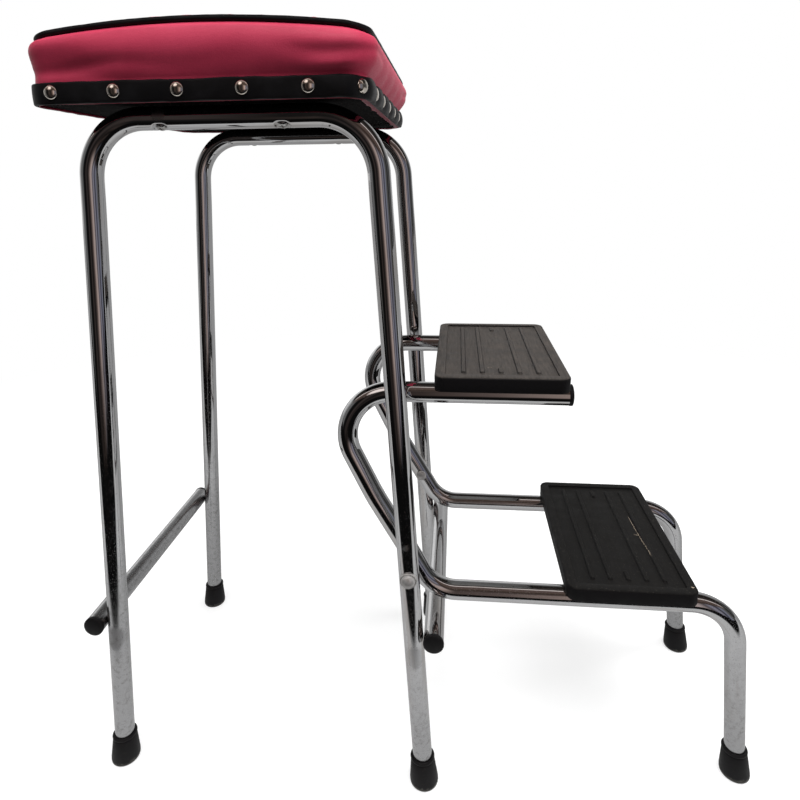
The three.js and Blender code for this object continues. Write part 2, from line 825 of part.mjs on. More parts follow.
// Long hole with round ends, running across the tread
function ribOutline(x, start, end) {
  const radius = matRibWidth / 2;
  const path = new THREE.Path();
  path.absarc(x, end - radius, radius, 0, Math.PI, false);
  path.absarc(x, start + radius, radius, Math.PI, 2 * Math.PI, false);
  path.closePath();
  return path;
}

// Sunk field of the mat, with the ribs left standing in it; the middle rib is only two stubs
function matField() {
  const [depth, width] = [matDepth - 2 * matRimWidth, matWidth - 2 * matRimWidth];
  const shape = roundedRectangle(depth, width, matCornerRadius / 4);
  const end = width / 2 - matRibEndSpace;
  const middle = (matRibCount - 1) / 2;
  for (let i = 0; i < matRibCount; i += 1) {
    const x = (i - middle) * depth / matRibCount;
    if (i === middle) {
      shape.holes.push(ribOutline(x, end - matStubLength, end), ribOutline(x, -end, -end + matStubLength));
    } else {
      shape.holes.push(ribOutline(x, -end, end));
    }
  }
  return plate(shape, matRimRise + cutOverrun).translate(0, 0, matTopHeight - matRimRise);
}

// Moulded rubber mat: a top with rounded upper edge and a skirt down over the pan
function treadMat() {
  const shape = roundedRectangle(
    matDepth - 2 * matEdgeRounding,
    matWidth - 2 * matEdgeRounding,
    matCornerRadius - matEdgeRounding,
  );
  const outside = new THREE.ExtrudeGeometry(shape, {
    depth: matSkirtHeight - 2 * matEdgeRounding,
    bevelThickness: matEdgeRounding,
    bevelSize: matEdgeRounding,
    bevelSegments: 1,
    curveSegments: 3,
  }).translate(0, 0, matTopHeight - matSkirtHeight + matEdgeRounding);
  const [depth, width] = [matDepth - 2 * matSkirtThickness, matWidth - 2 * matSkirtThickness];
  const skirtBase = matTopHeight - matSkirtHeight;
  const pocketHeight = panTopHeight + seatingGap - skirtBase + cutOverrun;
  const pocket = plate(roundedRectangle(depth, width, panCornerRadius + seatingGap), pocketHeight)
    .translate(0, 0, skirtBase - cutOverrun);
  return cut(outside, [pocket, matField(), ...treadNotches(seatingGap)]);
}

// Pivot hardware is made on the left side, along +Y from the middle plane, and turned for the right
const legAxisY = legOffset(pivotHeight);
const spacerStart = stepTubeWidth / 2 + tubeRadius + runningGap;
const washerFace = legAxisY + tubeRadius + pivotWasherThickness;

// Piece of the front leg round the pivot, with a clearance, that hollows what seats on it
function legPiece(clearance) {
  const place = (z) => new THREE.Vector3(legReach(z), legOffset(z), z).sub(
    new THREE.Vector3(pivotReach, 0, pivotHeight),
  );
  return bar(place(0), place(2 * pivotHeight), tubeRadius + clearance);
}

function collar(start, end, diameter) {
  const bore = pivotShankDiameter / 2 + boreClearance;
  return turned([
    [bore, start],
    [diameter / 2, start],
    [diameter / 2, end],
    [bore, end],
    [bore, start],
  ]).rotateX(-Math.PI / 2);
}

// Washer saddled on the round outer face of the leg
function pivotWasher() {
  return cut(collar(legAxisY + tubeRadius / 2, washerFace, pivotWasherDiameter), [legPiece(seatingGap)]);
}

// Spacer that holds the step tube off the leg, saddled at the leg and flat at the step tube
function pivotSpacer() {
  return cut(collar(spacerStart, legAxisY - tubeRadius / 2, pivotSpacerDiameter), [legPiece(seatingGap)]);
}

function pivotRivet() {
  const shank = pivotShankDiameter / 2;
  const head = pivotHeadDiameter / 2;
  const inner = pivotInnerHeadDiameter / 2;
  const outerSeat = washerFace + seatingGap;
  const innerSeat = stepTubeWidth / 2 - tubeRadius - runningGap;
  return turned([
    [0, innerSeat - pivotInnerHeadHeight],
    [inner * Math.cos(Math.PI / 5), innerSeat - pivotInnerHeadHeight],
    [inner, innerSeat],
    [shank, innerSeat],
    [shank, outerSeat],
    [head, outerSeat],
    [head * Math.cos(Math.PI / 6), outerSeat + pivotHeadHeight * Math.sin(Math.PI / 6)],
    [head * Math.cos(Math.PI / 3), outerSeat + pivotHeadHeight * Math.sin(Math.PI / 3)],
    [0, outerSeat + pivotHeadHeight],
  ]).rotateX(-Math.PI / 2);
}

function piece(parent, name, geometry, finish) {
  const mesh = new THREE.Mesh(closed(geometry), new THREE.MeshStandardMaterial(finish));
  mesh.name = name;
  parent.add(mesh);
  return mesh;
}

const sideNames = [['left', 1], ['right', -1]];

function addSideFrames(parent) {
  for (const [name, side] of sideNames) {
    piece(parent, `${name}_side_frame`, sideFrame(side), chrome);
    for (const [place, end] of [['front', 1], ['rear', -1]]) {
      const foot = piece(
        parent,
        `${name}_${place}_foot`,
        rubberFoot(-end * frontLegLean, -side * legSpread),
        blackRubber,
      );
      foot.position.set(end * frameFootSpan / 2, side * frameFootWidth / 2, 0);
    }
  }
}

function addCrossTubes(parent) {
  for (const [place, end, height] of [['front', 1, frontCrossHeight], ['rear', -1, rearCrossHeight]]) {
    const x = end * (legReach(height) + tubeDiameter + seatingGap);
    piece(parent, `${place}_cross_tube`, crossTube(), chrome).position.set(x, 0, height);
    for (const [name, side] of sideNames) {
      const shoulder = crossTubeLength / 2 - plugHeadThickness - plugDomeHeight;
      const plug = piece(parent, `${place}_cross_tube_plug_${name}`, tubePlug(), blackRubber);
      plug.position.set(x, side * shoulder, height);
      plug.rotation.x = -side * Math.PI / 2;
    }
  }
}

function addSeat(parent) {
  const nailHoles = nailSeats().map(nailHole);
  const screwHoles = screwPlaces().map((place) => (
    screwHole({ ...place, x: place.x + seatSetBack }, 0, screwTipHeight + boreClearance)
  ));
  const seat = new THREE.Group();
  seat.position.x = -seatSetBack;
  parent.add(seat);
  piece(seat, 'seat_board', seatBoard([...nailHoles, ...screwHoles]), chipboard);
  piece(seat, 'seat_foam', seatFoam(), foam);
  piece(seat, 'seat_cover', seatCover(nailHoles), redVinyl);
  piece(seat, 'seat_piping', seatPiping(), blackVinyl);
  piece(seat, 'seat_band', seatBand(nailHoles), blackVinyl);
  nailSeats().forEach(({ seat: place, turn }, i) => {
    const nail = piece(seat, `dome_nail_${String(i + 1).padStart(2, '0')}`, domeNail(), nickel);
    nail.position.set(place.x, place.y, boardBase + nailHeight);
    nail.rotation.set(0, Math.PI / 2, turn, 'ZYX');
  });
}

function addSeatScrews(parent) {
  for (const { x, y, side, end } of screwPlaces()) {
    const name = `seat_screw_${side > 0 ? 'left' : 'right'}_${end > 0 ? 'front' : 'rear'}`;
    const screw = piece(parent, name, seatScrew(), brightSteel);
    screw.position.set(x, y, frameTopHeight);
    screw.rotation.x = side * screwTilt;
  }
}

function addPivots(parent) {
  for (const [name, side] of sideNames) {
    const pieces = [
      piece(parent, `${name}_pivot_rivet`, pivotRivet(), brightSteel),
      piece(parent, `${name}_pivot_washer`, mirrored(pivotWasher(), side), brightSteel),
      piece(parent, `${name}_pivot_spacer`, mirrored(pivotSpacer(), side), brightSteel),
    ];
    pieces.forEach((each) => each.position.set(pivotReach, 0, pivotHeight));
    if (side < 0) pieces[0].rotation.z = Math.PI;
  }
}

// Handed piece: the right one is the left one's mirror image
function mirrored(geometry, side) {
  return side > 0 ? geometry : geometry.clone().scale(1, -1, 1);
}

function addStepTubes(parent) {
  for (const [name, side] of sideNames) {
    const y = side * stepTubeWidth / 2;
    piece(parent, `${name}_step_tube`, stepTube(side), chrome);
    const foot = piece(parent, `${name}_step_foot`, rubberFoot(-stepLegLean, 0), blackRubber);
    foot.position.set(stepFootReach, y, 0);
    const plug = piece(parent, `${name}_step_tube_plug`, tubePlug(), blackRubber);
    plug.position.set(upperTubeReach + seatingGap, y, upperTreadAxisHeight);
    plug.rotation.y = Math.PI / 2;
  }
}

function addTreads(parent) {
  const treads = [
    ['upper', upperTreadReach, upperTreadAxisHeight],
    ['lower', lowerTreadReach, lowerTreadAxisHeight],
  ];
  for (const [name, x, z] of treads) {
    piece(parent, `${name}_tread_pan`, treadPan(), brightSteel).position.set(x, 0, z);
    piece(parent, `${name}_tread_mat`, treadMat(), matRubber).position.set(x, 0, z);
  }
}

const stool = new THREE.Group();
const frame = new THREE.Group();
const steps = new THREE.Group();
stool.add(frame, steps);
addSideFrames(frame);
addCrossTubes(frame);
addSeat(frame);
addSeatScrews(frame);
addPivots(frame);
addStepTubes(steps);
addTreads(steps);

// Stand the stool with the middle of its whole depth over the origin
const depthBox = new THREE.Box3().setFromObject(stool, true);
frame.position.x = -(depthBox.min.x + depthBox.max.x) / 2;
steps.position.x = frame.position.x;

export default stool;
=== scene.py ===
import json
import math
import bpy
import numpy as np
from mathutils import Matrix, Vector


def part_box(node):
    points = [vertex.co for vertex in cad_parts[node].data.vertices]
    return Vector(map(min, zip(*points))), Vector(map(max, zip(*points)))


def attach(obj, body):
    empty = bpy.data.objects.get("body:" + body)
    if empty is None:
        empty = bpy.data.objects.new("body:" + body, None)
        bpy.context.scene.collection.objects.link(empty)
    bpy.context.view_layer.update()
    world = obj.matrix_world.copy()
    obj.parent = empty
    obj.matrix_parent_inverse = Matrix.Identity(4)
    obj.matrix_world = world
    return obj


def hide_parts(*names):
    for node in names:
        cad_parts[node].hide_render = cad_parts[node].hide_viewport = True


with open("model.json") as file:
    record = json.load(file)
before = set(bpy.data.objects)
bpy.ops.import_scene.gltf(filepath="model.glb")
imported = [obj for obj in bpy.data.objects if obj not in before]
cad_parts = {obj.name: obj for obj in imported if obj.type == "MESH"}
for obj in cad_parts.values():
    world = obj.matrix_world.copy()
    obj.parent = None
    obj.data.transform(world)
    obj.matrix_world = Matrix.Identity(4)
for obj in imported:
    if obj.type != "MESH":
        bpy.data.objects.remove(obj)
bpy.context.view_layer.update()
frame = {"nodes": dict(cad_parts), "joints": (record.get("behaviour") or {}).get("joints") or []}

# Folding step stool chair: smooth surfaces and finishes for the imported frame, in metres.
# +X points towards the treads, +Y away from the camera, +Z up.

mm = 0.001
sides = {"left": 1, "right": -1}
ends = {"front": 1, "rear": -1}
print("frame loaded,", len(frame["nodes"]), "nodes")


class Values(dict):
    # user values by name, also read as values.name
    __getattr__ = dict.__getitem__


def lengths(others=(), **millimetres):
    # lengths written in millimetres and kept in metres, and other values as they are
    return Values({key: length * mm for key, length in millimetres.items()}, **dict(others))


# Meshes out of arrays of points

def stacked(*columns):
    # arrays or numbers side by side: x, y and z make points, and numbers of points make faces
    return np.stack(np.broadcast_arrays(*columns), axis=-1)


def gridFaces(rows, columns, wrapRows=False, wrapColumns=True):
    # four corners of every cell of a grid; a wrapped side joins its last line to its first
    row = np.arange(rows if wrapRows else rows - 1)[:, None]
    column = np.arange(columns if wrapColumns else columns - 1)
    rowAfter, columnAfter = (row + 1) % rows, (column + 1) % columns
    return stacked(row * columns + column, row * columns + columnAfter,
                   rowAfter * columns + columnAfter, rowAfter * columns + column).reshape(-1, 4)


def fanFaces(start, count, centre):
    # triangles from a ring of points to one point
    column = np.arange(count)
    return stacked(start + column, start + (column + 1) % count, centre)


def signedVolume(points, faces):
    # sum of the corner tetrahedra of each face's triangles, negative if the faces point inwards
    a, b, c = points[faces[:, 0]], points[faces[:, 1]], points[faces[:, 2]]
    volume = np.einsum("ij,ij->i", a, np.cross(b, c)).sum()
    if faces.shape[1] == 4:
        volume += np.einsum("ij,ij->i", a, np.cross(c, points[faces[:, 3]])).sum()
    return volume / 6


def facingOut(points, faces):
    # all faces are turned over where they point inwards
    centred = points - points.mean(axis=0)
    turnedIn = sum(signedVolume(centred, block) for block in faces) < 0
    return points, [block[:, ::-1] for block in faces] if turnedIn else faces


def surface(grid, wrapRows=False):
    # rows of points that run round the piece, joined in a loop or closed by a fan at both ends
    rows, columns = grid.shape[:2]
    faces = [gridFaces(rows, columns, wrapRows)]
    if wrapRows:
        return facingOut(grid.reshape(-1, 3), faces)
    first = rows * columns
    fans = [fanFaces(0, columns, first)[:, ::-1], fanFaces(first - columns, columns, first + 1)]
    return facingOut(withEnds(grid), faces + fans)


def withEnds(grid):
    # the points of a grid and the middles of its first and last row
    return np.vstack([grid.reshape(-1, 3), grid[0].mean(axis=0), grid[-1].mean(axis=0)])


def addObject(name, data):
    made = bpy.data.objects.new(name, data)
    bpy.context.scene.collection.objects.link(made)
    return made


def camelName(node):
    first, *others = node.split("_")
    return first + "".join(word.title() for word in others)


def addPiece(node, parts, finish, body="frame", crease=50, name=None, also=(), attributes=None):
    # one object from one or more closed surfaces, in place of its node and any others named;
    # edges sharper than the crease angle stay sharp
    material, slot = finish
    faces, offset = [], 0
    for points, blocks in parts:
        for block in blocks:
            faces += (block + offset).tolist()
        offset += len(points)
    mesh = bpy.data.meshes.new(name or camelName(node))
    mesh.from_pydata(np.vstack([points for points, blocks in parts]).tolist(), [], faces)
    for key, values in (attributes or {}).items():
        layer = mesh.attributes.new(key, "FLOAT_VECTOR", "POINT")
        layer.data.foreach_set("vector", np.ascontiguousarray(values, dtype=np.float32).ravel())
    mesh.shade_smooth()
    mesh.set_sharp_from_angle(angle=math.radians(crease))
    mesh.materials.append(material)
    made = addObject(mesh.name, mesh)
    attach(made, body)
    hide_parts(node, *also)
    return made


# radius of the ring at the tip of a turned metal piece, which a fan closes
axisHole = 0.2 * mm


def turned(profile, count=64):
    # surface of revolution about Z: each (radius, height) of the profile becomes a ring
    radius, height = np.array(profile, dtype=float).T[..., None]
    angle = np.linspace(0, 2 * np.pi, count, endpoint=False)
    return stacked(radius * np.cos(angle), radius * np.sin(angle), height)


def arc(centre, radius, start, end, count=7, flatness=1.0):
    # points of a circular or flattened arc in the profile plane, angles in degrees
    angle = np.radians(np.linspace(start, end, count))
    return list(zip(centre[0] + radius * np.cos(angle), centre[1] + radius * flatness * np.sin(angle)))


def placed(grid, origin, axis):
    # turn a piece made along Z to lie along an axis, and move it to its place
    turn = np.array(Vector((0, 0, 1)).rotation_difference(Vector(axis)).to_matrix())
    return grid @ turn.T + np.array(origin)


def smoothStep(value, low, high):
    # 0 below low, 1 above high, an even S between them
    share = np.clip((value - low) / (high - low), 0, 1)
    return share * share * (3 - 2 * share)


def bell(away, width, power=2):
    # 1 in the middle and 0 far away; a higher power gives it a flatter top
    return np.exp(-(away / width) ** power)


def waves(place, seed, count, shortest, longest):
    # gentle irregular line: a sum of sine waves of mixed lengths, between -1 and 1 or so
    chance = np.random.default_rng(seed)
    total = np.zeros_like(place)
    for length in np.geomspace(shortest, longest, count):
        phase = chance.uniform(0, 2 * np.pi)
        total = total + np.sin(2 * np.pi * place / length + phase) * (length / longest) ** 0.5
    return total / count ** 0.5


# Materials

def addNode(tree, kind, inputs=None, **settings):
    # one shader node; inputs are plain values or other nodes' output sockets
    made = tree.nodes.new("ShaderNode" + kind)
    for key, value in settings.items():
        setattr(made, key, value)
    for key, value in (inputs or {}).items():
        if isinstance(value, bpy.types.NodeSocket):
            tree.links.new(value, made.inputs[key])
        else:
            made.inputs[key].default_value = value
    return made


def grey(value):
    return (value, value, value, 1)


# each of these adds a node beside the one that its first socket belongs to

def mapRange(value, fromMin, fromMax, toMin=0.0, toMax=1.0):
    inputs = {"Value": value, "From Min": fromMin, "From Max": fromMax, "To Min": toMin, "To Max": toMax}
    return addNode(value.id_data, "MapRange", inputs).outputs["Result"]


def noiseRange(value, low=0.0, high=1.0):
    # noise keeps mostly between 0.3 and 0.7, which this carries to the range from low to high
    return mapRange(value, 0.3, 0.7, low, high)


def calculated(operation, first, second=0.0):
    return addNode(first.id_data, "Math", {0: first, 1: second}, operation=operation).outputs[0]


def plus(first, second):
    return calculated("ADD", first, second)


def times(first, second):
    return calculated("MULTIPLY", first, second)


def vectorMath(operation, first, second=(0, 0, 0)):
    made = addNode(first.id_data, "VectorMath", {0: first, 1: second}, operation=operation)
    return made.outputs["Value" if operation in ("DISTANCE", "DOT_PRODUCT", "LENGTH") else "Vector"]


def component(vector, axis):
    return addNode(vector.id_data, "SeparateXYZ", {"Vector": vector}).outputs[axis]


def blendColors(share, first, second):
    return addNode(share.id_data, "Mix", {0: share, 6: first, 7: second}, data_type="RGBA").outputs[2]


def noise(place, scale, detail=4.0, roughness=0.55, stretch=None):
    # noise texture; stretch multiplies the coordinates along each axis before it is read
    if stretch:
        place = addNode(place.id_data, "Mapping", {"Vector": place, "Scale": stretch}).outputs[0]
    inputs = {"Vector": place, "Scale": scale, "Detail": detail, "Roughness": roughness}
    return addNode(place.id_data, "TexNoise", inputs).outputs["Fac"]


def cells(place, scale, feature="SMOOTH_F1"):
    inputs = {"Vector": place, "Scale": scale}
    return addNode(place.id_data, "TexVoronoi", inputs, feature=feature).outputs["Distance"]


def objectPlace(tree):
    return addNode(tree, "TexCoord").outputs["Object"]


def newMaterial(name, **shaderValues):
    # Principled material and its Object coordinates; the values go on the shader's own sockets
    material = bpy.data.materials.new(name)
    material.use_nodes = True
    shader = material.node_tree.nodes["Principled BSDF"]
    for key, value in shaderValues.items():
        shader.inputs[key.replace("_", " ")].default_value = value
    return material, objectPlace(material.node_tree)


def finished(material, slot, color, roughness, *layers):
    # a material and its slot, once it has its colour, its roughness and bump from several heights, each with
    # its depth in metres
    tree, normal = material.node_tree, None
    for height, depth in layers:
        inputs = {"Height": height, "Distance": depth, "Strength": 1.0}
        if normal:
            inputs["Normal"] = normal
        normal = addNode(tree, "Bump", inputs).outputs[0]
    for key, value in (("Base Color", color), ("Roughness", roughness), ("Normal", normal)):
        tree.links.new(value, tree.nodes["Principled BSDF"].inputs[key])
    return material, slot


chromeLook = Values({
    "plate": (0.58, 0.58, 0.585, 1),
    "tarnish": (0.36, 0.31, 0.27, 1),
    "worn": (0.46, 0.46, 0.465, 1),
    "wornDark": (0.30, 0.295, 0.29, 1),
    "pit": (0.10, 0.09, 0.08, 1),
    "wornBelow": 0.065,
    "brightAbove": 0.15,
    "rearWear": 0.10,
    # dull grey marks: place in metres, and radius
    "marks": [((-0.209, -0.121, 0.643), 0.008), ((-0.0113, -0.130, 0.264), 0.0065)]
             + [((x, y, 0.150), 0.015) for x in (-0.302, -0.004) for y in (-0.127, 0.127)],
})


def tubeChrome():
    # bright plate with drawn streaks along the tube, smudges, and a satin pitted length near the floor,
    # which reaches higher on the rear legs
    look = chromeLook
    material, place = newMaterial("tubeChrome", Metallic=1.0)
    straight = addNode(material.node_tree, "Attribute", attribute_name="straight").outputs["Vector"]
    uneven = plus(noise(place, 9, 3), noiseRange(noise(place, 160, 3), -0.1, 0.1))
    height = plus(component(place, "Z"), noiseRange(uneven, -0.03, 0.03))
    height = plus(height, mapRange(component(place, "X"), -0.22, -0.28, 0.0, -look.rearWear))
    wear = mapRange(height, look.wornBelow, look.brightAbove, 1.0, 0.0)
    streaks = noise(straight, 900, 3, 0.5, (1, 1, 0.012))
    smudges = noise(place, 22, 5, 0.6)
    tarnish = mapRange(noise(straight, 60, 4, 0.6, (1, 1, 0.1)), 0.52, 0.72, 0.0, 0.7)
    specks = mapRange(noise(place, 1500, 2, 0.4), 0.66, 0.74)
    pits = times(specks, mapRange(height, 0.14, 0.34, 1.0, 0.12))
    mottle = mapRange(noise(place, 240, 4, 0.65), 0.5, 0.68, 0.0, 0.8)
    color = blendColors(wear, blendColors(tarnish, look.plate, look.tarnish),
                        blendColors(mottle, look.worn, look.wornDark))
    dull = plus(mapRange(smudges, 0.45, 0.75, 0.02, 0.085), mapRange(streaks, 0.4, 0.7, 0.0, 0.02))
    for worse, most in ((wear, 0.16), (pits, 0.3), (dullMarks(place, smudges, look.marks), 0.4)):
        dull = plus(dull, times(worse, most))
    ripple = noise(straight, 70, 2, 0.4, (1, 1, 0.25))
    return finished(material, "chrome_tube", blendColors(pits, color, look.pit), dull,
                    (ripple, 0.00028), (streaks, 0.000012), (pits, -0.00006))


def dullMarks(place, smudges, marks):
    # round marks with ragged edges: 0.8 within each, 0 outside
    deepest = None
    for middle, radius in marks:
        away = plus(vectorMath("DISTANCE", place, middle), noiseRange(smudges, -0.003, 0.003))
        mark = mapRange(away, radius, radius * 0.6, 0.0, 0.8)
        deepest = calculated("MAXIMUM", deepest, mark) if deepest else mark
    return deepest


def brightSteel(name, slot, color, roughness, tarnishColor, metallic=1.0):
    # small plated fastener: faint turning marks, stains and fine scratches
    material, place = newMaterial(name, Metallic=metallic)
    stains = mapRange(noise(place, 260, 5, 0.65), 0.48, 0.7, 0.0, 0.85)
    scratches = noise(place, 1400, 3, 0.6)
    dull = plus(noiseRange(scratches, roughness * 0.7, roughness * 1.4), times(stains, 0.15))
    return finished(material, slot, blendColors(stains, color, tarnishColor), dull, (scratches, 0.00002))


def footRubber():
    # matt black rubber, scuffed grey where it meets the floor and dusty in places
    material, place = newMaterial("footRubber", Specular_IOR_Level=0.26)
    grain, patches = noise(place, 1900, 3, 0.5), noise(place, 210, 5, 0.65)
    scuffHeight = 0.0042
    height = plus(component(place, "Z"), noiseRange(patches, -0.002, 0.002))
    scuff = mapRange(height, scuffHeight * 0.7, scuffHeight * 1.3, 0.85, 0.0)
    dusty = calculated("MAXIMUM", scuff, mapRange(patches, 0.55, 0.75, 0.0, 0.08))
    color = blendColors(dusty, (0.0072, 0.0068, 0.0074, 1), (0.11, 0.105, 0.095, 1))
    return finished(material, "black_rubber", color, noiseRange(patches, 0.42, 0.62),
                    (grain, 0.00003), (patches, 0.00008))


def matRubber(name, look, middle):
    # moulded tread rubber: dusty worn tops, brushed along the ribs, with pale nicks; painted shade darkens
    # the rib sides, walls and skirt by how far they turn from up
    material, place = newMaterial(name, Specular_IOR_Level=0.2)
    up = component(addNode(material.node_tree, "NewGeometry").outputs["Normal"], "Z")
    brushed = noise(place, 520, 4, 0.6, (1, 0.08, 1))
    clouds = noise(place, 60, 5, 0.65)
    grain = noise(place, 2600, 2, 0.5)
    level = mapRange(plus(brushed, clouds), 0.75, 1.25, 0.25, 1.0)
    # share that faces up: dust settles there, and the slopes below it keep the painted shade
    topDustAndSlopeShade = mapRange(up, 0.5, 0.97)
    # painted shade: faces that turn from up, such as the rib sides and the skirt, go nearly black
    field = blendColors(mapRange(up, 0.1, 0.9), (0.0065, 0.006, 0.0066, 1), look.field)
    color = blendColors(times(times(level, topDustAndSlopeShade), look.dustTop), field, look.dust)
    specks = times(mapRange(noise(place, 900, 2, 0.4), 0.68, 0.74, 0.0, 0.175), topDustAndSlopeShade)
    color = blendColors(specks, color, (0.3, 0.27, 0.23, 1))
    for nick in look.nicks:
        color = blendColors(nickShare(place, middle, *nick), color, (0.42, 0.34, 0.26, 1))
    return finished(material, "tread_rubber", color, noiseRange(clouds, 0.5, 0.72),
                    (grain, 0.00003), (brushed, 0.00005))


def nickShare(place, middle, start, end, width, strength):
    # share of a thin broken scratch: how near a point lies to the line from start to end, seen from above
    start, end = Vector((middle + start[0], start[1], 0)), Vector((middle + end[0], end[1], 0))
    run = end - start
    offset = vectorMath("SUBTRACT", vectorMath("MULTIPLY", place, (1, 1, 0)), tuple(start))
    along = vectorMath("DOT_PRODUCT", offset, tuple(run / run.length_squared))
    across = vectorMath("DOT_PRODUCT", offset, tuple(Vector((-run.y, run.x, 0)).normalized()))
    bent = plus(across, noiseRange(noise(place, 300, 3), -width, width))
    thin = mapRange(calculated("ABSOLUTE", bent), width * 0.3, width, strength, 0.0)
    inside = times(mapRange(along, -0.02, 0.05), mapRange(along, 1.02, 0.95))
    broken = mapRange(noise(place, 800, 2), 0.42, 0.55, 0.15, 1.0)
    return times(times(thin, inside), broken)


def redVinyl():
    # soft crimson sheet vinyl: fine leather grain, faint cloudiness and a low sheen
    material, place = newMaterial("redVinyl", Specular_IOR_Level=0.3)
    grain = cells(place, 1150.0)
    fibre = noise(place, 620, 3, 0.6, (0.45, 0.45, 1))
    clouds = noiseRange(noise(place, 26, 4, 0.6))
    color = blendColors(clouds, (0.46, 0.034, 0.078, 1), (0.545, 0.047, 0.10, 1))
    color = blendColors(mapRange(grain, 0.2, 0.75, 0.0, 0.22), color, (0.36, 0.02, 0.05, 1))
    return finished(material, "red_vinyl", color, noiseRange(fibre, 0.4, 0.54),
                    (grain, 0.00006), (fibre, 0.00007))


def blackVinyl():
    # satin black sheet vinyl with a fine grain and pale rubbed patches
    material, place = newMaterial("blackVinyl", Specular_IOR_Level=0.22)
    patches = noise(place, 45, 4, 0.6)
    color = blendColors(mapRange(patches, 0.45, 0.8), (0.0038, 0.0036, 0.0042, 1), (0.010, 0.0096, 0.011, 1))
    return finished(material, "black_vinyl", color, noiseRange(patches, 0.44, 0.6),
                    (cells(place, 1300.0), 0.00004), (patches, 0.0003))


def paintedBoard():
    # chipboard brushed with black paint: coarse flakes under it and pale specks through it
    material, place = newMaterial("paintedBoard", Specular_IOR_Level=0.04)
    rough = noise(place, 420, 5, 0.7)
    color = blendColors(mapRange(rough, 0.35, 0.65), grey(0.001), (0.009, 0.008, 0.008, 1))
    specks = mapRange(noise(place, 330, 3, 0.6), 0.66, 0.72, 0.0, 0.8)
    return finished(material, "chipboard", blendColors(specks, color, (0.12, 0.085, 0.07, 1)),
                    noiseRange(rough, 0.7, 0.95), (rough, 0.0008), (cells(place, 260.0, "F1"), 0.0006))


def panSteel():
    # plain pressed steel with rolling lines and faint rust bloom
    material, place = newMaterial("panSteel", Metallic=1.0)
    rolled = noise(place, 700, 3, 0.6, (0.04, 1, 1))
    bloom = mapRange(noise(place, 70, 5, 0.7), 0.55, 0.75, 0.0, 0.6)
    return finished(material, "pan_steel", blendColors(bloom, (0.46, 0.46, 0.45, 1), (0.26, 0.17, 0.11, 1)),
                    plus(noiseRange(rolled, 0.28, 0.42), times(bloom, 0.3)), (rolled, 0.00004))


chrome = tubeChrome()
rivetSteel = brightSteel("rivetSteel", "bright_steel", (0.52, 0.505, 0.495, 1), 0.34,
                         (0.36, 0.34, 0.32, 1), 0.55)
screwSteel = brightSteel("screwSteel", "bright_steel", (0.55, 0.55, 0.54, 1), 0.25, (0.45, 0.43, 0.40, 1))
nailNickel = brightSteel("nailNickel", "nail_nickel", (0.80, 0.74, 0.67, 1), 0.1, (0.66, 0.57, 0.48, 1))
rubber, red, black, pan = footRubber(), redVinyl(), blackVinyl(), panSteel()
print("materials made")


# Bent tubes

tube = lengths({"columns": 56, "closeRows": 50}, radius=9.525, rowStep=4, bendStep=1.6, closeReach=9)
frameSize = lengths(topHeight=640.5, topSpan=239, footSpan=314, topWidth=225.6, footWidth=237,
                    bendRadius=49, tubeEnd=7.6)
dimpleSize = lengths({"tilt": math.radians(25)}, spacing=101.6, behind=5.2, radius=7.6, floorRadius=4.8,
                     depth=1.8)
sideLow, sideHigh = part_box("left_side_frame")
legMiddle = (sideLow.x + sideHigh.x) / 2
legLean = (frameSize.footSpan - frameSize.topSpan) / 2 / frameSize.topHeight
legSpread = (frameSize.footWidth - frameSize.topWidth) / 2 / frameSize.topHeight


def legReach(height):
    # how far a leg stands from the middle along X at a height
    return frameSize.footSpan / 2 - legLean * height


def legOffset(height):
    # how far a leg stands to the side at a height
    return frameSize.footWidth / 2 - legSpread * height


def bendRuns(corners, radii):
    # straight runs and tangent arcs that round the corners: start, heading, length, inward direction, radius
    runs, start = [], corners[0]
    for before, corner, after, radius in zip(corners[:-2], corners[1:-1], corners[2:], radii):
        inward = (corner - before) / np.linalg.norm(corner - before)
        outward = (after - corner) / np.linalg.norm(after - corner)
        turn = np.arccos(np.clip(inward @ outward, -1, 1))
        bendStart = corner - inward * radius * np.tan(turn / 2)
        sideways = outward - (outward @ inward) * inward
        runs.append((start, inward, np.linalg.norm(bendStart - start), None, None))
        runs.append((bendStart, inward, radius * turn, sideways / np.linalg.norm(sideways), radius))
        start = corner + outward * radius * np.tan(turn / 2)
    length = np.linalg.norm(corners[-1] - start)
    return runs + [(start, (corners[-1] - start) / length, length, None, None)]


def bentLine(corners, radii, closeLooks=()):
    # points and headings along the centre line: sparse on straights, dense in bends and at the close looks
    points, headings, distances, before = [], [], [], 0.0
    for start, heading, length, inward, radius in bendRuns(corners, radii):
        step = tube.bendStep if radius else tube.rowStep
        place = np.linspace(0, length, max(2, int(length / step)))[:-1]
        for near in closeLooks:
            dense = np.linspace(near - tube.closeReach, near + tube.closeReach, tube.closeRows) - before
            place = np.union1d(place, dense[(dense > 0) & (dense < length)])
        column = place[:, None]
        if radius:
            turn = column / radius
            points.append(start + heading * radius * np.sin(turn) + inward * radius * (1 - np.cos(turn)))
            headings.append(heading * np.cos(turn) + inward * np.sin(turn))
        else:
            points.append(start + heading * column)
            headings.append(np.repeat(heading[None], len(place), axis=0))
        distances.append(before + place)
        before += length
    return (np.vstack(points + [corners[-1]]), np.vstack(headings + [headings[-1][-1]]),
            np.concatenate(distances + [[before]]))


def sweptTube(line, sideways):
    # ring of the tube's radius round every point of the line; also the same tube pulled straight,
    # whose coordinates the chrome's streaks follow
    points, headings, distances = line
    angle = np.linspace(0, 2 * np.pi, tube.columns, endpoint=False)
    across, along = tube.radius * np.cos(angle)[None, :, None], tube.radius * np.sin(angle)[None, :, None]
    grid = points[:, None] + across * sideways + along * np.cross(headings, sideways)[:, None]
    return grid, stacked(across[..., 0], along[..., 0], distances[:, None])


def addTube(node, body, grid, flat):
    addPiece(node, [surface(grid)], chrome, body, attributes={"straight": withEnds(flat)})


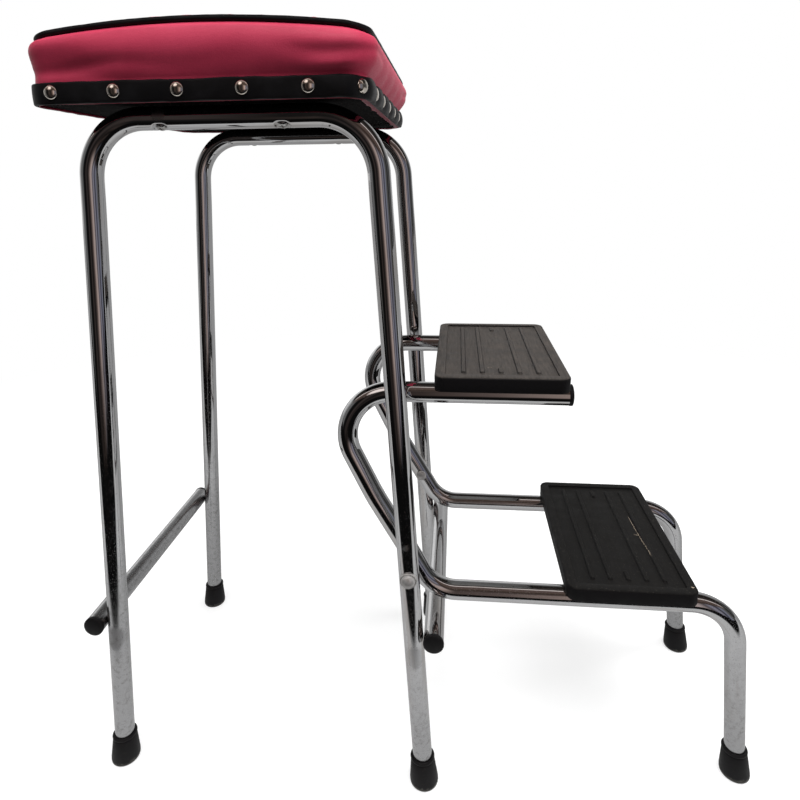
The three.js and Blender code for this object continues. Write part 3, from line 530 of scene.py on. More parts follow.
def dimplePlace(side, end):
    # centre of the arch's tube over a seat screw
    return np.array([legMiddle - dimpleSize.behind + end * dimpleSize.spacing / 2,
                     side * frameSize.topWidth / 2, frameSize.topHeight])


def pressedDimples(grid, side):
    # the underside of the arch is pushed up to a flat round floor at each screw, square to the leaning screw
    size = dimpleSize
    upright, sloped = math.cos(size.tilt), side * math.sin(size.tilt)
    lean = np.array([[1, 0, 0], [0, upright, -sloped], [0, sloped, upright]])
    for end in ends.values():
        own = (grid - dimplePlace(side, end)) @ lean
        pressed = 1 - smoothStep(np.hypot(own[..., 0], own[..., 1]), size.floorRadius, size.radius)
        raised = own[..., 2] + np.maximum(size.depth - tube.radius - own[..., 2], 0) * pressed
        own[..., 2] = np.where(own[..., 2] < 0, raised, own[..., 2])
        grid = own @ lean.T + dimplePlace(side, end)
    return grid


def addSideFrame(name, side):
    # one tube over an arch, in the plane of its two splayed legs
    size, half = frameSize, frameSize.topSpan / 2
    foot = legReach(size.tubeEnd)
    corners = [np.array([legMiddle + x, side * legOffset(z), z]) for x, z in (
        (-foot, size.tubeEnd), (-half, size.topHeight), (half, size.topHeight), (foot, size.tubeEnd))]
    turn = math.pi / 2 - math.atan(legLean)
    spare = size.bendRadius * (2 * math.tan(turn / 2) - turn)
    archMiddle = np.linalg.norm(corners[1] - corners[0]) - spare + half
    closeLooks = [archMiddle - dimpleSize.behind + end * dimpleSize.spacing / 2 for end in (-1, 1)]
    sideways = np.array([0, 1, side * legSpread])
    line = bentLine(corners, [size.bendRadius] * 2, closeLooks)
    grid, flat = sweptTube(line, sideways / np.linalg.norm(sideways))
    addTube(name + "_side_frame", "frame", pressedDimples(grid, side), flat)


def addCrossTube(name):
    # straight tube across the outside of the legs
    low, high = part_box(name + "_cross_tube")
    middle = np.array((low + high) / 2) * [1, 0, 1]
    grid, flat = sweptTube(bentLine([middle + [0, y, 0] for y in (low.y, high.y)], []), np.array([1.0, 0, 0]))
    addTube(name + "_cross_tube", "frame", grid, flat)


stepSize = lengths({"bends": [44 * mm, 200 * mm, 38 * mm, 46 * mm]}, offset=84.6, upperHeight=398.4,
                   lowerHeight=193.5, upperReach=286, rearReach=58.5, kneeReach=108.5, kneeHeight=292.7,
                   legCornerReach=450.4, footReach=468.8, tubeEnd=7.6)
pivotX, pivotZ = frame["joints"][0]["pos_m"][::2]
stepLean = (stepSize.footReach - stepSize.legCornerReach) / stepSize.lowerHeight


def addStepTube(name, side):
    # one tube with four bends: under the upper tread, back, down through the pivot, under the lower
    # tread and down
    size = stepSize
    slope = (pivotX - legMiddle - size.kneeReach) / (size.kneeHeight - pivotZ)
    lowerCorner = pivotX - legMiddle + (pivotZ - size.lowerHeight) * slope
    corners = [np.array([legMiddle + x, side * size.offset, z]) for x, z in (
        (size.upperReach, size.upperHeight), (size.rearReach, size.upperHeight),
        (size.kneeReach, size.kneeHeight), (lowerCorner, size.lowerHeight),
        (size.legCornerReach, size.lowerHeight), (size.footReach - stepLean * size.tubeEnd, size.tubeEnd))]
    addTube(name + "_step_tube", "steps", *sweptTube(bentLine(corners, size.bends), np.array([0, 1.0, 0])))


for name, side in sides.items():
    addSideFrame(name, side)
    addStepTube(name, side)
for name in ends:
    addCrossTube(name)
print("tubes made")


# Rubber feet and plugs

footSize = lengths(height=31.5, base=14, neck=11.5, rim=11.2, rimHeight=3.4, bore=9.7, boreDepth=6, edge=2.8,
                   floorThickness=7, axisHole=0.3)
plugSize = lengths(radius=9.8, thickness=2.6, dome=1.8, edge=0.9, drop=0.2, axisHole=0.3, gap=0.3)


def footProfile(size):
    # tapered cup: rounded base edge, cone, beaded rim and the bore round the tube
    bead, waist, boreFloor = size.rimHeight / 2, size.height - size.rimHeight, size.height - size.boreDepth
    return ([(size.axisHole, 0), (size.base - size.edge, 0)]
            + arc((size.base - size.edge, size.edge), size.edge, -80, 0)
            + [(size.base, size.floorThickness * 0.8), (size.neck + 0.2 * mm, waist - 1.2 * mm)]
            + arc((size.rim - bead * 0.55, waist + bead), bead, -75, 75, 9)
            + [(size.bore, size.height), (size.bore, boreFloor), (size.axisHole, boreFloor)])


def addRubber(node, grid, body, crease):
    addPiece(node, [surface(grid)], rubber, body, crease, node.title().replace("_", ""))


def addFoot(node, reach, offset, lean, spread, body):
    # the cup leans with its leg and stands flat: every ring slides over with its height
    grid = turned(footProfile(footSize))
    height = grid[..., 2]
    addRubber(node, grid + stacked(reach + lean * height, offset + spread * height, 0), body, 40)


def addPlug(node, origin, axis, body):
    # domed head over the open tube end
    size = plugSize
    profile = ([(size.axisHole, -size.drop), (size.radius - size.edge, -size.drop)]
               + arc((size.radius - size.edge, size.edge - size.drop), size.edge, -80, 0, 5)
               + arc((0, size.thickness), size.radius, 0, 88, 14, size.dome / size.radius))
    addRubber(node, placed(turned(profile, 48), origin, axis), body, 60)


for name, side in sides.items():
    for place, end in ends.items():
        addFoot(f"{name}_{place}_foot", legMiddle + end * frameSize.footSpan / 2,
                side * frameSize.footWidth / 2, -end * legLean, -side * legSpread, "frame")
        tubeLow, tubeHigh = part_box(place + "_cross_tube")
        middle = (tubeLow + tubeHigh) / 2
        addPlug(f"{place}_cross_tube_plug_{name}", (middle.x, side * (tubeHigh.y + plugSize.gap), middle.z),
                (0, side, 0), "frame")
    offset = side * stepSize.offset
    addFoot(name + "_step_foot", legMiddle + stepSize.footReach, offset, -stepLean, 0, "steps")
    plugX = legMiddle + stepSize.upperReach + plugSize.gap
    addPlug(name + "_step_tube_plug", (plugX, offset, stepSize.upperHeight), (1, 0, 0), "steps")
print("feet and plugs made")


# Pivots

pivotSize = lengths(head=6.6, headHeight=4.4, innerHead=6.2, innerHeight=3, innerEdge=0.6, shank=3, hole=3.3,
                    edge=0.4, washer=7.75, washerThickness=1.4, spacer=6, reach=6, gap=0.3, clearance=0.5)


def addRing(node, side, radius, face, legY, way):
    # washer outside the leg (way 1) or spacer inside it (way -1), with one face pressed on to the leg's round
    size = pivotSize
    profile = [(size.hole, face), (radius - size.edge, face), (radius, face - way * size.edge),
               (radius, legY + way * size.reach), (size.hole, legY + way * size.reach)]
    grid = placed(turned(profile), (pivotX, 0, pivotZ), (0, side, 0))
    rounded = np.sqrt(np.maximum(tube.radius ** 2 - (grid[..., 0] - pivotX) ** 2, 0)) + size.gap
    grid[..., 1] = side * way * np.maximum(way * side * grid[..., 1], way * legY + rounded)
    addPiece(node, [surface(grid, wrapRows=True)], rivetSteel, crease=35)


def addPivot(name, side):
    # domed rivet from inside the step tube to outside the leg, with the washer and the spacer that it holds
    size = pivotSize
    legY = legOffset(pivotZ)
    washerFace = legY + tube.radius + size.washerThickness
    headSeat = washerFace + size.gap
    innerSeat = stepSize.offset - tube.radius - size.clearance
    innerRim, innerDome = innerSeat - size.innerEdge, size.innerHeight - size.innerEdge
    rivet = ([(axisHole, innerSeat - size.innerHeight)]
             + arc((0, innerRim), size.innerHead, -80, 0, 8, innerDome / size.innerHead)
             + [(size.innerHead, innerSeat), (size.shank, innerSeat),
                (size.shank, headSeat), (size.head, headSeat)]
             + arc((0, headSeat + size.clearance), size.head, 0, 88, 14,
                   (size.headHeight - size.clearance) / size.head))
    addPiece(name + "_pivot_rivet", [surface(placed(turned(rivet), (pivotX, 0, pivotZ), (0, side, 0)))],
             rivetSteel, crease=35)
    addRing(name + "_pivot_washer", side, size.washer, washerFace, legY, 1)
    spacerFace = stepSize.offset + tube.radius + size.clearance
    addRing(name + "_pivot_spacer", side, size.spacer, spacerFace, legY, -1)


for name, side in sides.items():
    addPivot(name, side)
print("pivots made")


# Seat

seatCounts = {"columns": 760, "crownRows": 44, "sideRows": 34, "pipingColumns": 900, "bandColumns": 1500}
seatSize = lengths(seatCounts, depth=268.4, width=296, corner=23.5, base=650.325, setBack=15.8,
                   waist=16, bulge=5.2, inset=3, seamHeight=47.4, seamInset=6, seamRise=10,
                   frontLead=6, rearLead=2.6, piping=2.4, groove=2.2, crown=21, sag=1.2, pucker=0.35,
                   pleat=0.25, endPleat=0.7, frontFlap=4.5, sideFlap=4, rearFlap=0.8,
                   lining=1.3, liningMiddle=30)
seatX = legMiddle - seatSize.setBack
straightX, straightY = seatSize.depth / 2 - seatSize.corner, seatSize.width / 2 - seatSize.corner
bend = seatSize.corner * np.pi / 2
# arc lengths at which the sides and corners start, from the middle of the front edge towards +Y
starts = np.cumsum([0, straightY, bend, 2 * straightX, bend, 2 * straightY, bend, 2 * straightX, bend,
                    straightY])
sideMiddle = {"front": 0.0, "left": (starts[2] + starts[3]) / 2, "rear": (starts[4] + starts[5]) / 2,
              "right": (starts[6] + starts[7]) / 2}


def seatOutline(distance):
    # rounded rectangle by arc length: the centre of the corner's circle slides along each side while the
    # outward direction holds still, then the direction turns a quarter while the centre holds still
    x, y = straightX, straightY
    distance = np.mod(distance, starts[-1])
    angle = np.interp(distance, starts, np.radians([0, 0, 90, 90, 180, 180, 270, 270, 360, 360]))
    centreX = np.interp(distance, starts, [x, x, x, -x, -x, -x, -x, x, x, x])
    centreY = np.interp(distance, starts, [0, y, y, y, y, -y, -y, -y, -y, 0])
    normal = stacked(np.cos(angle), np.sin(angle))
    return stacked(centreX, centreY) + seatSize.corner * normal, normal


def roundOutline(columns):
    # even stations round the seat: arc lengths, points and outward directions
    distance = np.linspace(0, starts[-1], columns, endpoint=False)
    return distance, *seatOutline(distance)


def roundDistance(distance, place):
    # shortest way round the outline between two arc lengths
    return np.abs(np.mod(distance - place + starts[-1] / 2, starts[-1]) - starts[-1] / 2)


def frontShare(x):
    # 0 over the rear half of the seat, 1 at its front edge
    return smoothStep(x, 0.03, 0.125)


def seatPoints(point, normal, inset, height, rise):
    # points set in from the outline, at a height over the underside of the board; the rise lifts them with
    # the seam, which climbs from the corners to the middle of the left and right edges, and carries the
    # padding a little forward over the front edge; the foot sits a little back behind the rear edge
    size, x = seatSize, point[..., 0]
    flat = point - normal * (inset + 0 * x)[..., None]
    z = size.base + height + size.seamRise * rise * (1 - (2 * x / size.depth) ** 2)
    lead = size.frontLead * rise * frontShare(x) - size.rearLead * (1 - rise) * smoothStep(-x, 0.1, 0.134)
    return stacked(seatX + flat[..., 0] + lead, flat[..., 1], z)


# folds pressed into the side of the cover: side, place along it, share of the cover's height, length,
# height of the fold and its depth
coverFolds = [
    ("right", -0.082, 0.26, 0.050, 0.13, 0.0013), ("right", 0.108, 0.49, 0.030, 0.14, 0.0017),
    ("right", 0.110, 0.20, 0.026, 0.12, -0.0014), ("right", -0.010, 0.30, 0.060, 0.16, 0.0005),
    ("left", -0.100, 0.52, 0.036, 0.11, 0.0012), ("left", 0.095, 0.40, 0.034, 0.11, 0.0008),
    ("rear", -0.110, 0.48, 0.034, 0.11, 0.0006), ("rear", 0.118, 0.34, 0.030, 0.11, -0.0006),
    ("front", -0.115, 0.56, 0.030, 0.10, 0.0009), ("front", 0.110, 0.50, 0.034, 0.10, 0.0010),
]
nailSize = lengths({"frontTurn": 0.58}, radius=5.5, height=3, rimWidth=0.5, rimHeight=0.15, over=7.4,
                   drawn=0.9, sideLead=19.9, rearMargin=18.5)


def nailPlaces():
    # arc lengths of the nails, in the order of their names: a row along the front that starts and ends
    # on its corners, and a row on each other side
    frontEnd = starts[1] + seatSize.corner * nailSize.frontTurn
    side = np.linspace(starts[2] + nailSize.sideLead, starts[3], 5)
    rear = np.linspace(starts[4] + nailSize.rearMargin, starts[5] - nailSize.rearMargin, 5)
    places = np.concatenate([np.linspace(-frontEnd, frontEnd, 7), side, -side, rear])
    return np.sort(np.mod(np.round(places, 9), starts[-1]))


def foldDepth(distance, share):
    # sum of soft folds, each a bell across its height and along its length
    total = 0 * distance
    for side, at, height, length, thick, depth in coverFolds:
        along = roundDistance(distance, sideMiddle[side] + at) / length
        across = (share - height - 0.05 * np.sin(distance * 60)) / thick
        total = total + depth * np.exp(-along ** 2 - across ** 2)
    return total


def pleatDepth(distance, share):
    # the vinyl is drawn in at every nail: a valley that widens and dies out up the side,
    # deeper along the front and the rear, where the cover is pulled hardest
    inFront, behind = [bell(roundDistance(distance, sideMiddle[side]), 0.13, 4) for side in ("front", "rear")]
    total = 0 * distance
    for place in nailPlaces():
        lean = 0.004 * np.sin(place * 90)
        away = roundDistance(distance - lean * share, place)
        total = total + bell(away, 0.011 + 0.007 * share)
    depth = seatSize.pleat + seatSize.endPleat * (inFront + 0.5 * behind)
    return total * depth * (1 - smoothStep(share, 0.3, 0.9))


def crownRows(distance, point, normal):
    # the top from the middle out to the seam: a parabola each way, with a low sag and puckers at the seam
    size, rows = seatSize, []
    for way in np.sin(np.linspace(0.02, 1, size.crownRows) * np.pi / 2)[:-1]:
        u, v = 2 * point[:, 0] / size.depth * way, 2 * point[:, 1] / size.width * way
        flat = (point - normal * size.seamInset) * way
        pucker = size.pucker * waves(distance, 5, 8, 0.006, 0.03) * smoothStep(way, 0.8, 0.97)
        sag = size.sag * np.sin(u * 4 + 1) * np.sin(v * 3 + 2) * (1 - way ** 4)
        z = (size.base + size.seamHeight + size.groove + size.seamRise * (1 - u ** 2)
             + size.crown * (1 - u ** 2) * (1 - v ** 2) + pucker + sag)
        x = flat[:, 0] + size.frontLead * way ** 2 * frontShare(point[:, 0])
        rows.append(stacked(seatX + x, flat[:, 1], z))
    return rows


def sideRows(distance, point, normal):
    # the bulged side, fuller in front, flatter and higher behind, with its folds and pleats
    size, rows = seatSize, []
    rise = size.seamHeight - size.groove - size.waist
    ahead, behind = frontShare(point[:, 0]), smoothStep(-point[:, 0], 0.05, 0.125)
    for share in np.linspace(1, 0, size.sideRows)[1:]:
        crest = share ** (1.08 + 1.5 * behind)
        inset = (size.inset - size.bulge * (1 + 0.3 * ahead - 0.3 * behind) * 4 * crest * (1 - crest)
                 + (size.seamInset - size.inset) * smoothStep(share, 0.9, 1.0) ** 2)
        inset += foldDepth(distance, share) * smoothStep(share, 0.0, 0.12) * (1 - smoothStep(share, 0.9, 1.0))
        inset += pleatDepth(distance, share) * (1 - smoothStep(share, 0.85, 1.0))
        rows.append(seatPoints(point, normal, inset, size.waist + rise * share, share))
    return rows


def coverRows():
    # the whole skin as rows round the seat: crown, groove under the piping, side, tuck behind the band and
    # ragged flap under the board
    size = seatSize
    distance, point, normal = roundOutline(size.columns)
    rows = crownRows(distance, point, normal)
    for angle in np.radians(np.linspace(90, 270, 9)):
        rows.append(seatPoints(point, normal, size.seamInset - size.groove * np.cos(angle),
                               size.seamHeight + size.groove * np.sin(angle), 1))
    rows += sideRows(distance, point, normal)
    tuck = size.inset + 0.2 * mm
    for height in (10, 2, -0.6):
        rows.append(seatPoints(point, normal, tuck, height * mm, 0))
    front, rear = smoothStep(point[:, 0], 0.09, 0.13), smoothStep(-point[:, 0], 0.09, 0.13)
    flap = size.sideFlap * (1 - front - rear) + size.frontFlap * front + size.rearFlap * rear
    ragged = flap * (1 + 0.28 * waves(distance, 11, 10, 0.004, 0.05))
    for share, height in ((0.3, -1.3), (0.75, -1.25), (0.97, -1.1), (1.0, -0.9), (0.97, -0.5), (0.3, -0.35)):
        rows.append(seatPoints(point, normal, tuck + ragged * share, height * mm, 0))
    return np.array(rows)


def coverShell():
    # the rows outside, and back from low on the side to the crown the same rows a lining's thickness
    # further in, close into one skin
    outside = coverRows()
    inside = outside[-11::-1]
    inward = np.array([seatX, 0, seatSize.base + seatSize.liningMiddle]) - inside
    inside = inside + inward / np.linalg.norm(inward, axis=-1, keepdims=True) * seatSize.lining
    return surface(np.concatenate([outside, inside]))


def addPiping():
    # round cord sewn into the seam, a little uneven in thickness
    size = seatSize
    distance, point, normal = roundOutline(size.pipingColumns)
    angle = np.linspace(0, 2 * np.pi, 20, endpoint=False)[:, None]
    front = bell(roundDistance(distance, 0.0), 0.14, 8)
    radius = size.piping * (1 + 0.3 * front + 0.035 * waves(distance, 3, 6, 0.01, 0.06))
    grid = seatPoints(point[None], normal[None], size.seamInset - radius * np.cos(angle),
                      size.seamHeight + radius * np.sin(angle), 1)
    addPiece("seat_piping", [surface(grid, wrapRows=True)], black, crease=80)


bandSize = lengths(height=16.2, thickness=2.7, leastThickness=0.2, faceDepth=0.25, drop=1.3, edge=1.2,
                   puff=0.5, lobe=2.8, lobeRise=1.1, lobeReach=155, crease=0.75, creaseWidth=6,
                   dent=0.3, dentWidth=6.5, pinchWidth=10, topWave=0.45, footWave=0.4)


def addBand():
    # puffed strip: round top and bottom edges, drawn in down its whole height at every nail and dented round
    # it, with full lobes between the nails of the front
    size, edge = bandSize, bandSize.edge
    distance, point, normal = roundOutline(seatSize.bandColumns)
    low, high = -size.drop + edge, size.height - size.drop - edge
    face = np.linspace(low, high, 15)
    lower, upper = np.radians(np.linspace(-90, -15, 5)), np.radians(np.linspace(15, 90, 5))
    lowerRound, upperRound = edge - edge * np.cos(lower), edge - edge * np.cos(upper)
    inset = np.concatenate([[size.thickness], lowerRound, 0 * face, upperRound, [size.thickness]])[:, None]
    height = np.concatenate([[-size.drop], low + edge * np.sin(lower), face, high + edge * np.sin(upper),
                             [size.height - size.drop]])[:, None]
    share = (height - (low + high) / 2) / (size.height / 2)
    drawn, pinched = 0, 0 * distance
    front = bell(roundDistance(distance, 0.0), size.lobeReach, 8)
    for place in nailPlaces():
        away = roundDistance(distance, place)
        drawn = drawn + size.crease * bell(away, size.creaseWidth)
        drawn = drawn + size.dent * np.exp(-(away ** 2 + (height - nailSize.over) ** 2) / size.dentWidth ** 2)
        pinched = np.maximum(pinched, bell(away, size.pinchWidth))
    lobe = front * (1 - pinched)
    puff = (size.puff + size.lobe * lobe) * (1 - share ** 2 * 0.8)
    outer = inset < size.thickness
    depth = inset + np.where(outer, drawn - puff + size.faceDepth, 0)
    depth = np.minimum(depth, size.thickness - size.leastThickness * outer)
    topWave = size.topWave * waves(distance, 21, 7, 0.02, 0.11) + size.lobeRise * (lobe - 0.35 * front)
    footWave = size.footWave * waves(distance, 22, 7, 0.015, 0.09)
    wavy = topWave * np.clip(share, 0, 1) + footWave * np.clip(-share, 0, 1)
    grid = seatPoints(point[None], normal[None], depth, height + wavy * outer, 0)
    addPiece("seat_band", [surface(grid, wrapRows=True)], black, crease=80)


def addNails():
    # low polished domes, their rims on the drawn-in band
    size = nailSize
    flatness = (size.height - size.rimHeight) / size.radius
    profile = ([(axisHole, 0), (size.radius - size.rimWidth, 0)]
               + arc((0, size.rimHeight), size.radius, 0, 88, 14, flatness))
    for number, ((x, y), (outX, outY)) in enumerate(zip(*seatOutline(nailPlaces())), 1):
        origin = (seatX + x - outX * size.drawn, y - outY * size.drawn, seatSize.base + size.over)
        addPiece(f"dome_nail_{number:02d}", [surface(placed(turned(profile, 40), origin, (outX, outY, 0)))],
                 nailNickel, crease=70)


screwSize = lengths(head=4.3, headHeight=1.8, slot=0.55, slotReach=2.5, slotDepth=0.9, sink=0.4)


def addSeatScrews():
    # pan heads with a crossed recess, seen from below: the dome is pressed in near both arms of the cross
    size = screwSize
    radius = size.head * np.concatenate([np.linspace(0.02, 0.7, 26), np.sin(np.linspace(0.78, 1.5708, 8))])
    crown = size.headHeight * (1 - (radius / size.head) ** 4 * 0.75)
    head = turned(stacked(radius, crown), 96)
    arms = np.minimum(np.abs(head[..., 0]), np.abs(head[..., 1]))
    reach = np.hypot(head[..., 0], head[..., 1])
    head[..., 2] -= size.slotDepth * (1 - smoothStep(arms, size.slot * 0.7, size.slot)) * (
        1 - smoothStep(reach, size.slotReach * 0.8, size.slotReach))
    head = np.concatenate([head, turned([(size.head, 0), (axisHole, 0)], 96)])
    for name, side in sides.items():
        axis = np.array([0, side * math.sin(dimpleSize.tilt), -math.cos(dimpleSize.tilt)])
        for place, end in ends.items():
            origin = dimplePlace(side, end) + (tube.radius - dimpleSize.depth + size.sink) * axis
            addPiece(f"seat_screw_{name}_{place}", [surface(placed(head, origin, axis))], screwSteel,
                     crease=30, name=f"{name}{place.title()}SeatScrew")


cover = addPiece("seat_cover", [coverShell()], red, crease=80, also=["seat_foam"])
addPiping()
addBand()
addNails()
addSeatScrews()
print("seat made")


# Treads

matSize = lengths({"ribCount": 5, "ribRise": 0.94}, depth=120, width=205, top=20.5, skirt=13.4, corner=10,
                  leastCorner=2.2, edge=1.9, rim=9.5, rimEdge=0.6, rimRise=1.7, wall=4, ribWidth=4.6,
                  ribEndSpace=8, ribFoot=0.2, ribShoulder=0.8, ribEndReach=3.2, stub=15.5, overlap=0.25,
                  fieldThickness=2.2, stepAcross=1.5, stepAlong=2)
panSize = lengths(corner=6, thickness=1.2, base=7.4, edge=0.6)
# place and looks of each mat: colours, share of dust on top, and nicks as start and end from the mat's
# middle, width and strength; the lower mat's colours are darker partly for less dust and partly as painted
# shade
treads = {
    "upper": Values(
        reach=226 * mm, axis=stepSize.upperHeight, field=(0.015, 0.0137, 0.0128, 1),
        dust=(0.063, 0.054, 0.048, 1), dustTop=0.95, nicks=[
            ((-0.012, -0.066), (-0.007, -0.066), 0.0004, 0.8)]),
    "lower": Values(
        # painted shade: the lower mat's rubber colours are set darker than the upper mat's, for the less
        # light under the upper tread
        reach=351.5 * mm, axis=stepSize.lowerHeight, field=(0.0043, 0.0041, 0.0041, 1),
        dust=(0.0100, 0.0094, 0.0088, 1), dustTop=0.9, nicks=[
            ((0.0295, 0.030), (0.0325, -0.045), 0.00035, 0.9),
            ((0.0312, -0.0065), (0.0255, -0.0055), 0.0004, 0.8),
            ((0.0550, -0.0905), (0.0565, -0.0925), 0.0011, 1.0)]),
}


def roundedLoop(depth, width, corner, height, count=30):
    # rounded rectangle: a quarter circle at each corner, with the straights between them left to the mesh
    angle = np.radians(np.concatenate([np.linspace(0, 90, count) + start for start in (0, 90, 180, 270)]))
    signX, signY = np.repeat([1, -1, -1, 1], count), np.repeat([1, 1, -1, -1], count)
    return stacked(signX * (depth / 2 - corner) + corner * np.cos(angle),
                   signY * (width / 2 - corner) + corner * np.sin(angle), height)


def matRim(size):
    # loops carried round the tread by inset and height, from the inner wall's foot over the rim and down
    # the skirt to its inside
    inner, edge, top, foot = size.rim, size.edge, size.top, size.top - size.skirt
    loops = ([(inner + 0.3 * mm, top - size.rimRise - 1 * mm), (inner, top - size.rimRise)]
             + arc((inner - size.rimEdge, top - size.rimEdge), size.rimEdge, 0, 90, 4)
             + arc((edge, top - edge), edge, 90, 180, 9)
             + [(0.15 * mm, top - size.skirt / 2), (0, foot + 0.7 * mm), (0.3 * mm, foot),
                (size.wall - 0.3 * mm, foot), (size.wall, foot + 1 * mm), (size.wall, top - 6 * mm)])
    return np.array([roundedLoop(size.depth - 2 * inset, size.width - 2 * inset,
                                 max(size.corner - inset, size.leastCorner), height)
                     for inset, height in loops])


def nearSteps(edges, spread, end, step):
    # stations for a grid from -end to end: even steps, and close ones on both sides of every edge
    close = np.concatenate([np.array(edges) + away for away in spread])
    return np.unique(np.clip(np.concatenate([np.arange(-end, end, step), close, [-end, end]]), -end, end))


def matField(size):
    # sunk floor with raised ribs: the height at each point is the floor plus the tallest rib's rounded step
    depth, width = size.depth / 2 - size.rim, size.width / 2 - size.rim
    pitch = 2 * depth / (size.ribCount + 1)
    middles = (np.arange(size.ribCount) - (size.ribCount - 1) / 2) * pitch
    half, end = size.ribWidth / 2, width - size.ribEndSpace
    spread = np.array([-0.8, -0.55, -0.3, -0.05, 0.2]) * mm
    x = nearSteps(np.concatenate([middles - half, middles + half]), np.concatenate([spread, -spread]),
                  depth + size.overlap, size.stepAcross)
    y = nearSteps([-end, end, end - size.stub, -end + size.stub],
                  np.linspace(-size.ribEndReach, size.ribEndReach, 13), width + size.overlap, size.stepAlong)
    gridX, gridY = np.meshgrid(x, y, indexing="ij")
    rise = np.zeros_like(gridX)
    for number, middle in enumerate(middles):
        whole = number != (size.ribCount - 1) / 2
        for low, high in [(-end, end)] if whole else [(-end, -end + size.stub), (end - size.stub, end)]:
            beyond = np.maximum(np.maximum(low + half - gridY, gridY - (high - half)), 0)
            away = np.hypot(gridX - middle, beyond)
            rise = np.maximum(rise, 1 - smoothStep(away, half - size.ribShoulder, half + size.ribFoot))
    return stacked(gridX, gridY, size.top - size.rimRise + size.rimRise * size.ribRise * rise)


def slabUnder(grid, thickness):
    # close a sheet of points over its own flat copy underneath
    rows, columns = grid.shape[:2]
    under = grid.copy()
    under[..., 2] = grid[..., 2].min() - thickness
    sheet, count = gridFaces(rows, columns, wrapColumns=False), rows * columns
    index = np.arange(count).reshape(rows, columns)
    rim = np.concatenate([index[0], index[1:, -1], index[-1, -2::-1], index[-2:0:-1, 0]])
    after = np.roll(rim, -1)
    walls = stacked(rim, after, after + count, rim + count)
    points = np.vstack([grid.reshape(-1, 3), under.reshape(-1, 3)])
    return points, [sheet, sheet[:, ::-1] + count, walls[:, ::-1]]


def addTread(name, place):
    # rubber mat of a rim with a ribbed field, over a pressed pan: flat top and a short flange that ends
    # above the skirt's edge
    size, middle = panSize, legMiddle + place.reach
    origin = np.array([middle, 0, place.axis])
    addPiece(name + "_tread_mat", [surface(matRim(matSize) + origin, wrapRows=True),
                                   facingOut(*slabUnder(matField(matSize) + origin, matSize.fieldThickness))],
             matRubber(name + "MatRubber", place, middle), "steps", 45)
    low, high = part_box(name + "_tread_pan")
    base, inside = place.axis + size.base, size.thickness
    depth, width = high.x - low.x, high.y - low.y
    loops = [(size.edge, high.z), (0, high.z - size.edge), (0, base), (inside, base),
             (inside, high.z - inside)]
    rows = [roundedLoop(depth - 2 * inset, width - 2 * inset, size.corner - inset, height, 9)
            for inset, height in loops]
    addPiece(name + "_tread_pan", [surface(np.array(rows) + [middle, 0, 0])], pan, "steps", 40)


for name, place in treads.items():
    addTread(name, place)
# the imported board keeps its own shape
board = frame["nodes"]["seat_board"].data
board.materials.clear()
board.materials.append(paintedBoard()[0])
print("treads and board made")


# Floor, light and camera

studio = Values({
    "floorReach": 14.0,
    "shadowReach": (0.9, 1.7),
    "floorGlow": 0.62,
    "floorPaper": 0.5,
    "bounce": 0.10,
    # across the floor: where polished metal stops seeing dark ground, and where it starts to see the paper
    "bareEdge": (-0.92, -0.80),
    "bareGlow": 0.005,
    "paperEdge": (-0.34, -0.29),
    # from near to far: places, and light of the paper as polished metal sees it
    "sheetGlow": (-0.15, 0.2, 0.66, 0.42),
    "lowFill": 0.06,
    "highFill": 0.55,
    "window": (1.35, 1.18, 1.12, 1),
    "windowCompass": math.radians(-30),
    "windowHeight": math.radians(40),
    "windowEdge": (0.955, 0.985),
    # place, target, width and height, power
    "lamps": {
        "overheadLamp": ((0.1, -0.5, 2.3), (0, 0, 0.4), (1.8, 1.5), 61.0),
        "frontLamp": ((-0.7, -2.4, 1.5), (0, 0, 0.4), (1.4, 1.4), 1.5),
        "aheadLamp": ((2.2, 0.5, 1.0), (-0.15, 0, 0.65), (0.9, 0.9), 27.0),
    },
})


def bareTree(owner):
    owner.use_nodes = True
    owner.node_tree.nodes.clear()
    return owner.node_tree


def glow(tree, kind, strength, color=grey(1.0)):
    return addNode(tree, kind, {"Color": color, "Strength": strength}).outputs[0]


def mixShaders(share, first, second):
    return addNode(first.id_data, "MixShader", {"Fac": share, 1: first, 2: second}).outputs[0]


def floorMaterial():
    # white paper that keeps the shadow near the stool, and gives back little light from below;
    # polished metal sees it up to its near edge, then a strip of dark ground, and past that the world
    material = bpy.data.materials.new("floorPaper")
    tree = bareTree(material)
    rays, place = addNode(tree, "LightPath").outputs, objectPlace(tree)
    paper, bounce = [addNode(tree, "BsdfDiffuse", {"Color": grey(level)}).outputs[0]
                     for level in (studio.floorPaper, studio.bounce)]
    lit = addNode(tree, "AddShader", {0: paper, 1: glow(tree, "Emission", studio.floorGlow)}).outputs[0]
    far = mapRange(vectorMath("LENGTH", place), *studio.shadowReach)
    seen = mixShaders(far, lit, glow(tree, "Emission", 1.0))
    toFar = component(place, "Y")
    sheet = glow(tree, "Emission", mapRange(toFar, *studio.sheetGlow))
    past = mixShaders(mapRange(toFar, *studio.bareEdge), addNode(tree, "BsdfTransparent").outputs[0],
                      glow(tree, "Emission", studio.bareGlow))
    mirrored = mixShaders(mapRange(toFar, *studio.paperEdge), past, sheet)
    both = mixShaders(rays["Is Glossy Ray"], mixShaders(rays["Is Camera Ray"], bounce, seen), mirrored)
    addNode(tree, "OutputMaterial", {"Surface": both})
    return material


def addFloor():
    reach = studio.floorReach
    mesh = bpy.data.meshes.new("floor")
    mesh.from_pydata([(-reach, -reach, 0), (reach, -reach, 0), (reach, reach, 0), (-reach, reach, 0)],
                     [], [(0, 1, 2, 3)])
    mesh.materials.append(floorMaterial())
    addObject("floor", mesh)


